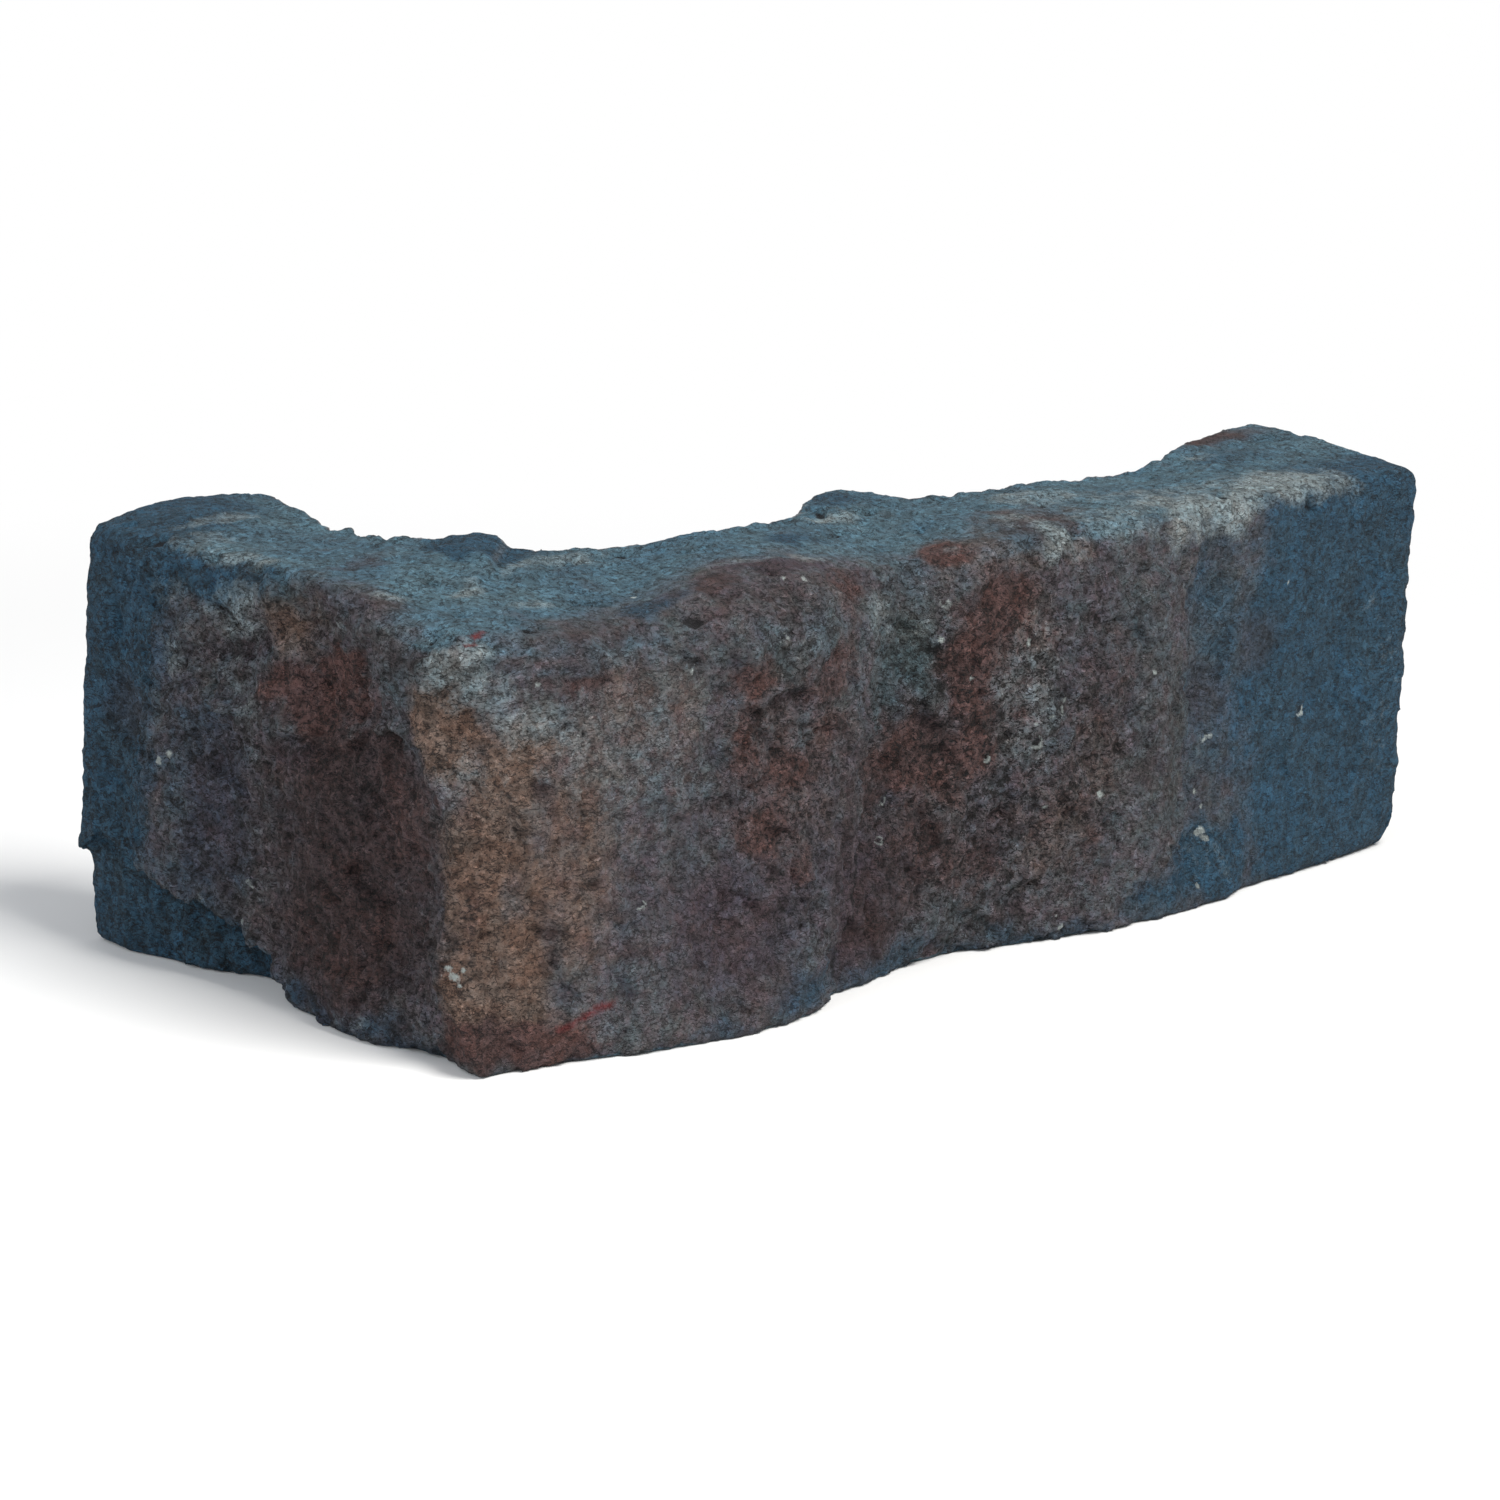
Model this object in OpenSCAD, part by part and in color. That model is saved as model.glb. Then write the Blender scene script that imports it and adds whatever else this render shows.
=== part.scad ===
// Stone veneer corner piece: one L-shaped casting with a split rock face on its two
// outer sides, a worn arris between them, a hand-filled inside corner and flat
// bonding faces behind. The rough casting is one loft: a closed section (rock face, top
// shoulder, top, back, bed, bottom edge) carried from the end of the short return, round
// the arris, to the end of the long return. The bed and the bonding faces are then
// struck off flat.
//
// Curves along the rock are short tables of pairs. The first number is a share of the
// leg, or of the height, in percent, so that the rock stretches with the piece. The
// second number counts relief steps, and a plus sign stands out from the nominal face.
// The wall corner, where the planes of the two bonding faces meet the bed, is the
// origin. The long return runs along +X and the short return along +Y.

/* [Legs] */
// Length of the long return, measured over the outer faces
long_leg = 311; // [240:1:340]
// Length of the short return, measured over the outer faces
short_leg = 141; // [120:1:180]
// Height of the course, from the bed to the top
course_height = 100; // [80:1:130]

/* [Back] */
// Thickness of the long return at its bonding face
long_thickness = 41; // [32:1:56]
// Thickness of the short return at its bonding face
short_thickness = 41; // [32:1:56]
// Radius of the filling in the inside corner
inside_radius = 34; // [15:1:50]
// Height of the flat part of the bonding faces, below the rough rim
flat_back_height = 55; // [35:1:70]
// Depth struck off the rough casting to flatten the bed and the bonding faces
strike = 1; // [0.5:0.5:3]

/* [Edges] */
// Radius of the edge between rock face and bed
foot_radius = 3; // [1.5:0.5:6]
// Radius of the edges round the end face of the long return
long_end_radius = 5; // [2:0.5:9]
// Radius of the edges round the end face of the short return
short_end_radius = 3; // [2:0.5:9]

/* [Rock face] */
// Height of one step of the relief tables
relief_step = 1; // [0.4:0.1:1.2]
// Size of the coarse grain that breaks up the rock faces
grain_size = 21; // [14:1:40]
// Height of the coarse grain
grain_height = 1.6; // [0:0.1:2.4]
// How far the worn arris reaches along the long return
arris_wear_length = 32; // [20:1:50]
// How deep the broken recess at the foot of the short return is cut
recess_depth = 8; // [4:0.5:12]

/* [Surface grid] */
// Longest facet along the piece and up its rock face
facet = 4.6; // [4.4:0.1:8]

/* [Hidden] */

// Guide curves of the long rock face, at the foot, the waist and the head
long_foot = [[0, 4], [5, 4], [10, 9], [15, 14], [23, 16], [31, 14], [37, 5], [44, -2],
             [50, -1], [57, 5], [65, 8], [75, 7], [80, 3], [90, 0], [100, -3]];
long_waist = [[0, 2], [8, 3], [16, 6], [24, 8], [33, 7], [38, 3], [46, 0], [54, 3],
              [62, 6], [70, 4], [75, 2], [80, 0], [90, 0], [100, 0]];
long_head = [[0, 1], [8, 0], [16, 1], [23, 4], [31, 3], [38, -1], [45, -2], [54, 1],
             [64, 2], [76, 1], [88, 1], [100, 2]];
// Guide curves of the short rock face
short_foot = [[0, 2], [8, 0], [20, 2], [30, 2], [43, 1], [50, -1], [60, 1], [75, 5],
              [90, 6], [100, 5]];
short_waist = [[0, 3], [6, 0], [20, -2], [45, 0], [60, 1], [75, 4], [90, 5], [96, 5],
               [100, 4]];
short_head = [[0, 0], [10, 1], [30, -1], [45, -2], [60, -2], [75, 0], [90, 1], [100, 1]];

// Ridges and valleys of the rock faces. Each runs from one [share of the leg, share of
// the height] to another, and then gives its half width and its height in relief steps.
long_ridges = [[[43, 92], [33, 4], 15, -5], [[49, 96], [45, 8], 13, 2.5],
               [[24, 92], [30, 84], 22, 4], [[28, 66], [27, 20], 17, 1.5],
               [[21, 76], [20, 8], 10, -1.5], [[74, 82], [72, 10], 13, -2.5],
               [[67, 72], [66, 20], 14, 2], [[55, 55], [56, 38], 12, 2],
               [[7, 64], [5, 52], 9, 1.5], [[90, 30], [93, 72], 16, -1]];
short_ridges = [[[30, 10], [38, 56], 20, 3], [[62, 66], [48, 65], 5, 2.5],
                [[62, 58], [48, 58], 6, -2], [[40, 77], [30, 78], 16, -4],
                [[63, 81], [42, 91], 6, -2], [[66, 84], [50, 94], 8, 1.5],
                [[74, 46], [72, 36], 18, 3], [[89, 86], [88, 34], 10, -1.5],
                [[15, 84], [22, 94], 9, 2]];

// How far the arris is worn back, up its height
arris_wear = [[0, 0], [8, 3], [14, 10], [22, 13], [35, 10], [50, 6], [60, 10], [68, 17],
              [76, 22], [84, 20], [92, 13], [100, 9]];
// Upper edge of the broken recess at the foot of the short return, as a height in
// percent of the course, and how deep the recess is there, as a share of its depth
recess_edge = [[50, 4], [53, 8], [57, 13], [68, 18], [80, 21], [93, 27], [100, 21]];
recess_share = [[49, 0], [53, 1], [58, 1.2], [64, 1.3], [69, 1], [80, 0.9], [88, 0.5],
                [100, 0.5]];
// Height over which the underside of the recess edge turns in
recess_lip = 1.2;
// Height of the coarse grain on the top
top_grain = grain_height / 2;
// Rows of facets below the recess edge
recess_rows = 4;

// Radius of the shoulder between rock face and top, along each leg
long_round = [[0, 9], [10, 9], [20, 14], [28, 14], [36, 10], [45, 8], [70, 6], [100, 4]];
short_round = [[0, 9], [20, 8], [50, 6], [80, 4], [100, 3]];
// Height of the front shoulder against the course height, along each leg
long_shoulder = [[0, -4], [8, -6], [14, -6], [20, 0], [28, 1], [34, -2], [42, -4],
                 [50, -1], [60, 0], [100, 0]];
short_shoulder = [[0, -4], [12, -4], [25, -1], [45, 0], [70, 0], [100, 1]];
// Height of the back rim against the course height, along each leg
long_rim = [[0, 1], [6, 0], [15, 0], [36, 1], [42, 3], [48, 1], [78, 0], [84, 3], [90, 2], [100, 3]];
short_rim = [[0, 2], [6, 4], [14, 4], [30, 2], [45, 1], [65, 0], [85, 1], [100, 1.5]];
// How far the top is crowned between shoulder and rim, along each leg
long_crown = [[0, 0], [30, 0], [50, 1], [85, 0], [100, 0.5]];
short_crown = [[0, 0], [60, 0], [90, 2.5], [100, 2.5]];
// How far the rough rim at the top stands behind the bonding face, along each leg
long_lip = [[0, 10], [8, 9], [18, 5], [30, 1], [33, 4], [38, 14], [43, 17], [46, 14],
            [47.5, 2], [56, 0], [68, 1], [76, -2], [82, 2], [88, 9], [95, 14], [100, 13]];
short_lip = [[0, 10], [12, 11], [25, 3], [45, -1], [62, 0], [80, 5], [92, 8], [100, 8]];
// Height of the bottom edge above the bed, along each leg
long_chip = [[0, 0], [30, 0], [36, 0], [42, 1], [54, 0], [80, 0], [90, 1], [97, 2], [100, 4]];
short_chip = [[0, 0], [3, 1], [7, 4], [16, 4], [22, 0], [46, 0], [50, 4], [60, 2], [75, 0],
              [100, 0]];

// Share of a leg, in percent, over which its rock face slides to meet the arris
long_slide = 10;
short_slide = 30;
// Hollowness of the worn arris: 1 is a flat bevel
arris_hollow = 1.4;

// Random heights of the coarse grain, and how much finer and weaker the second layer is
grain_seed = 11;
lattice_columns = 60;
lattice_rows = 40;
lattice_shift = 2 * lattice_columns;
fine_grain = 2.3;
fine_share = 0.35;
grain_heights = [for (i = [1 : lattice_columns]) rands(-1, 1, lattice_rows, grain_seed + i)];

// Counts of facets round one section
face_rows = ceil(course_height / facet) - 1;
arc_rows = 3;
top_rows = 8;
back_rows = 6;
bed_rows = 3;
cap_rows = 3;

function lerp(a, b, t) = a + (b - a) * t;
function clamp(t) = max(0, min(1, t));
function smooth(t) = let (c = clamp(t)) c * c * (3 - 2 * c);
// A guide curve with its corners eased over a few percent
function eased(curve, share, ease = 2) =
    (lookup(share - ease, curve) + 2 * lookup(share, curve) + lookup(share + ease, curve)) / 4;
// A curve through three values, at 0, 0.5 and 1
function through(a, b, c, t) =
    a * (1 - t) * (1 - 2 * t) + b * 4 * t * (1 - t) + c * t * (2 * t - 1);
// Distance of a point from a straight run
function from_run(p, a, b) =
    let (run = b - a, t = clamp((p - a) * run / max(run * run, 0.01)))
    norm(p - a - run * t);

// Coarse grain, from -1 to 1: a smooth surface through random heights on a square
// lattice, with a finer one of less than half its size laid over it. along is measured
// from the arris, and is negative on the short return.
function lattice_height(i, j) = grain_heights[(i + lattice_shift) % lattice_columns][j];
function lattice(x, y) =
    let (i = floor(x), j = floor(y), a = smooth(x - i), b = smooth(y - j))
    lerp(lerp(lattice_height(i, j), lattice_height(i + 1, j), a),
         lerp(lattice_height(i, j + 1), lattice_height(i + 1, j + 1), a), b);
function grain(along, across) =
    let (x = along / grain_size, y = across / grain_size)
    lerp(lattice(x, y), lattice(x * fine_grain, y * fine_grain), fine_share);

// Relief of the rock faces, outwards in millimetres. share runs along the leg in
// percent, and up from 0 at the bed to 1 at the top.
function guide_relief(foot, waist, head, share, up) =
    through(eased(foot, share), eased(waist, share), eased(head, share), up);

function ridge_relief(ridges, leg, share, up, i = 0) =
    i == len(ridges) ? 0 :
    let (scale = [leg, course_height] / 100,
         here = [share * scale.x, up * course_height],
         from = [ridges[i][0].x * scale.x, ridges[i][0].y * scale.y],
         to = [ridges[i][1].x * scale.x, ridges[i][1].y * scale.y])
    ridges[i][3] * smooth(1 - from_run(here, from, to) / (ridges[i][2] * relief_step))
        + ridge_relief(ridges, leg, share, up, i + 1);

function arris_relief(share, up) =
    let (reach = 1 - clamp(share / 100 * long_leg / arris_wear_length))
    -eased(arris_wear, 100 * up) * pow(reach, arris_hollow);

function recess_height(share) = lookup(share, recess_edge) / 100 * course_height;

function recess_relief(share, up) =
    -recess_depth * lookup(share, recess_share)
        * smooth((recess_height(share) - up * course_height) / recess_lip + 1);

function long_relief(share, up) =
    relief_step * (guide_relief(long_foot, long_waist, long_head, share, up)
        + ridge_relief(long_ridges, long_leg, share, up) + arris_relief(share, up))
        + grain_height * grain(share / 100 * long_leg, up * course_height);

function short_relief(share, up) =
    relief_step * (guide_relief(short_foot, short_waist, short_head, share, up)
        + ridge_relief(short_ridges, short_leg, share, up))
        + grain_height * grain(-share / 100 * short_leg, up * course_height)
        + recess_relief(share, up);

// Plan position of the rock face at a height. The arris belongs to both legs, so each
// leg slides towards the other's relief near it.
function long_front(share, up) =
    [long_leg * share / 100 - (1 - clamp(share / long_slide)) * short_relief(0, up),
     -long_relief(share, up)];

function short_front(share, up) =
    [-short_relief(share, up),
     short_leg * share / 100 - (1 - clamp(share / short_slide)) * long_relief(0, up)];

// Plan position of the back: the filled inside corner first, then the straight leg.
// The rough rim stands behind it above the flat part.
function back_point(share, up, leg, across, along, lip) =
    let (arc = inside_radius * PI / 4,
         run = share / 100 * (arc + leg - across - inside_radius),
         turn = 45 * (1 - clamp(run / arc)),
         rise = smooth((up * course_height - flat_back_height) / (course_height - flat_back_height)),
         out = inside_radius - strike - rise * relief_step * eased(lip, share, 1))
    [across + inside_radius + max(0, run - arc) - out * sin(turn),
     along + inside_radius - out * cos(turn)];

function long_back(share, up) =
    back_point(share, up, long_leg, short_thickness, long_thickness, long_lip);

function short_back(share, up) =
    let (p = back_point(share, up, short_leg, long_thickness, short_thickness, short_lip))
    [p.y, p.x];

// Heights of the rows of the rock face. On the short leg one row follows the edge of
// the recess and the next stands just above it. Elsewhere both lie close to the foot.
function face_heights(toe, head, edge) =
    let (ledge = max(edge, toe + foot_radius),
         above = face_rows - recess_rows - 1)
    concat([for (i = [0 : recess_rows]) lerp(toe, ledge, i / recess_rows)],
           [for (i = [0 : above - 1]) lerp(ledge + recess_lip, head, i / above)]);

// One closed section, from the foot of the rock face over the top to the bed. Each
// entry is [depth, height]: depth is 0 at the rock face and 1 at the back.
function section(front_height, rim_height, crown, radius, chip, ledge, depth, along) =
    let (head = front_height - radius,
         toe = chip + foot_radius,
         face = [for (h = face_heights(toe, head, ledge)) [0, h]],
         shoulder = [for (i = [0 : arc_rows - 1]) let (a = 90 * i / arc_rows)
             [radius * (1 - cos(a)) / depth, head + radius * sin(a)]],
         top = [for (i = [0 : top_rows - 1]) let (t = i / top_rows)
             [lerp(radius / depth, 1, t),
              lerp(front_height, rim_height, smooth(t)) + crown * 4 * t * (1 - t)
                  + top_grain * smooth(4 * t) * grain(along, course_height + t * depth)]],
         back = [for (i = [0 : back_rows - 1]) [1, lerp(rim_height, -strike, i / back_rows)]],
         bed = [for (i = [0 : bed_rows - 1]) [lerp(1, toe / depth, i / bed_rows), -strike]],
         toe_arc = [for (i = [0 : arc_rows - 1]) let (a = 90 * i / arc_rows)
             [toe * (1 - sin(a)) / depth, lerp(-strike, toe, 1 - cos(a))]])
    concat(face, shoulder, top, back, bed, toe_arc);

// Shrinks a section towards its middle, to round the edges of an end face
function inset(points, by, depth) =
    [for (p = points) [lerp(0.5, p[0], 1 - 2 * by / depth),
                       lerp(course_height / 2, p[1], 1 - 2 * by / course_height)]];

// One ring of the loft. on_long picks the leg, and by is the inset at an end.
function ring(on_long, share, by) =
    let (depth = on_long ? long_thickness : short_thickness,
         along = share / 100 * (on_long ? long_leg : -short_leg),
         step = relief_step,
         points = section(course_height + step * eased(on_long ? long_shoulder : short_shoulder, share),
                          course_height + step * eased(on_long ? long_rim : short_rim, share)
                              + top_grain * grain(along, course_height + depth),
                          step * eased(on_long ? long_crown : short_crown, share),
                          step * eased(on_long ? long_round : short_round, share),
                          step * eased(on_long ? long_chip : short_chip, share, 1),
                          on_long ? 0 : recess_height(share), depth, along))
    [for (p = inset(points, by, depth))
        let (up = clamp(p[1] / course_height),
             front = on_long ? long_front(share, up) : short_front(share, up),
             back = on_long ? long_back(share, up) : short_back(share, up),
             plan = lerp(front, back, p[0]))
        [plan.x, plan.y, p[1]]];

// Shares of a leg at which rings stand, and how much each is inset. The last few are
// close together and round the end face.
function leg_rings(leg, radius) =
    let (count = ceil((leg - radius) / facet))
    concat([for (i = [0 : count]) [100 * (leg - radius) / leg * i / count, 0]],
           [for (i = [1 : cap_rows]) let (a = 90 * i / cap_rows)
               [100 * (leg - radius * (1 - sin(a))) / leg, radius * (1 - cos(a))]]);

short_rings = leg_rings(short_leg, short_end_radius);
long_rings = leg_rings(long_leg, long_end_radius);
rings = concat([for (i = [len(short_rings) - 1 : -1 : 1])
                   ring(false, short_rings[i][0], short_rings[i][1])],
               [for (r = long_rings) ring(true, r[0], r[1])]);

points_round = len(rings[0]);
shell_points = [for (r = rings, p = r) p];
function middle(points) =
    [for (k = [0 : 2]) let (v = [for (p = points) p[k]]) (min(v) + max(v)) / 2];
all_points = concat(shell_points, [middle(rings[0])], [middle(rings[len(rings) - 1])]);

function at(i, j) = i * points_round + j % points_round;
sides = [for (i = [0 : len(rings) - 2], j = [0 : points_round - 1])
    each [[at(i, j), at(i, j + 1), at(i + 1, j + 1)], [at(i, j), at(i + 1, j + 1), at(i + 1, j)]]];
first_cap = [for (j = [0 : points_round - 1]) [len(shell_points), at(0, j + 1), at(0, j)]];
last_cap = [for (j = [0 : points_round - 1])
    [len(shell_points) + 1, at(len(rings) - 1, j), at(len(rings) - 1, j + 1)]];

module rough_casting() {
    translate([-short_thickness, -long_thickness, 0])
        polyhedron(points = all_points, faces = concat(sides, first_cap, last_cap), convexity = 8);
}

// What is struck off flat: the bed, and the back below the rough rim
module struck_off() {
    translate([-short_leg, -short_leg, -course_height])
        cube([2 * long_leg, 2 * short_leg, course_height]);
    translate([inside_radius, 0, -strike])
        cube([long_leg, 2 * strike, flat_back_height + strike]);
    translate([0, inside_radius, -strike])
        cube([2 * strike, short_leg, flat_back_height + strike]);
}

module corner_stone() {
    color("#4d5359")
        difference() {
            rough_casting();
            struck_off();
        }
}

corner_stone();
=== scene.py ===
"""Looks of the stone veneer corner piece: the rock face, its pigments and a plain studio."""

import math

import bpy
import numpy as np
from bpy.props import FloatProperty, FloatVectorProperty, PointerProperty
from mathutils import Matrix, Vector, noise


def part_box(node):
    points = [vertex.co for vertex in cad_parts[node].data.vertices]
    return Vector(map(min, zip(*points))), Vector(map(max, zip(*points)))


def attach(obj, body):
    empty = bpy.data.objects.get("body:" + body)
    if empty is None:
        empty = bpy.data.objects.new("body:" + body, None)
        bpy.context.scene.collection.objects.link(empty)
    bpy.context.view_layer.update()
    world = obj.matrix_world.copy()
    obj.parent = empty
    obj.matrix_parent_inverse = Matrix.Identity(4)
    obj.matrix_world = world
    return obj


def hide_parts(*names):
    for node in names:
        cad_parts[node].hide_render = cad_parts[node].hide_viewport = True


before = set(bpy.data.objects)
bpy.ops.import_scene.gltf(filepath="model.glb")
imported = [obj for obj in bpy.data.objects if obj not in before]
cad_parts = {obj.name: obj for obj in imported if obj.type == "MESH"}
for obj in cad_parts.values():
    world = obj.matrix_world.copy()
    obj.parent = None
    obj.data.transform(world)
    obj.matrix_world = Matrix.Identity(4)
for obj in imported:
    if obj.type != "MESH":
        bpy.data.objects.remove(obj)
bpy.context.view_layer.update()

bl_info = {
    "name": "Stone Veneer Corner",
    "version": (1, 0, 0),
    "blender": (4, 5, 0),
    "location": "3D View > Sidebar > Veneer",
    "description": "Builds the look of one cast stone veneer corner piece",
    "category": "Add Mesh",
}

MM = 0.001
NODE = "corner_stone"
STONE_LOW, STONE_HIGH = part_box(NODE)
# Thickness of the body behind the rock face: it puts the foot of the arris, from
# which every place on the rock is measured, against the wall corner at the origin
BODY_THICKNESS = 41.0
ARRIS_FOOT = Vector((-BODY_THICKNESS, -BODY_THICKNESS, 0.0))
LONG_LEG = STONE_HIGH.x / MM + BODY_THICKNESS
SHORT_LEG = STONE_HIGH.y / MM + BODY_THICKNESS
TOP = 100.0
# The rock lies in front of this depth and the top face above this height
ROCK_DEPTH, TOP_FROM = 26.0, 80.0
# The bonding faces begin this far in and stop short of the ends
BACK_FROM, END_WALL = BODY_THICKNESS - 7, 4.0
# Where each return turns from coarse rock into its smoother slate-blue end
SMOOTH_LONG_END, SMOOTH_SHORT_END = (222, 250), (112, 128)

# A little under the 200,000 that a piece may have
MOST_TRIANGLES = 194000
SEED = 7
EASING_ROUNDS = 10
# The relief is sunk a little, so that it is cut into the solid more than it stands out
# from it, and the vertices keep this far inside the solid's box
SINK, CLEARANCE = 0.15, 0.02


def linear(code):
    """A colour written as sRGB hex, as the linear values that nodes take."""
    values = [int(code[i : i + 2], 16) / 255 for i in (1, 3, 5)]
    return tuple(v / 12.92 if v <= 0.04045 else ((v + 0.055) / 1.055) ** 2.4 for v in values)


# ---------------------------------------------------------------- places on the rock

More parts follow.
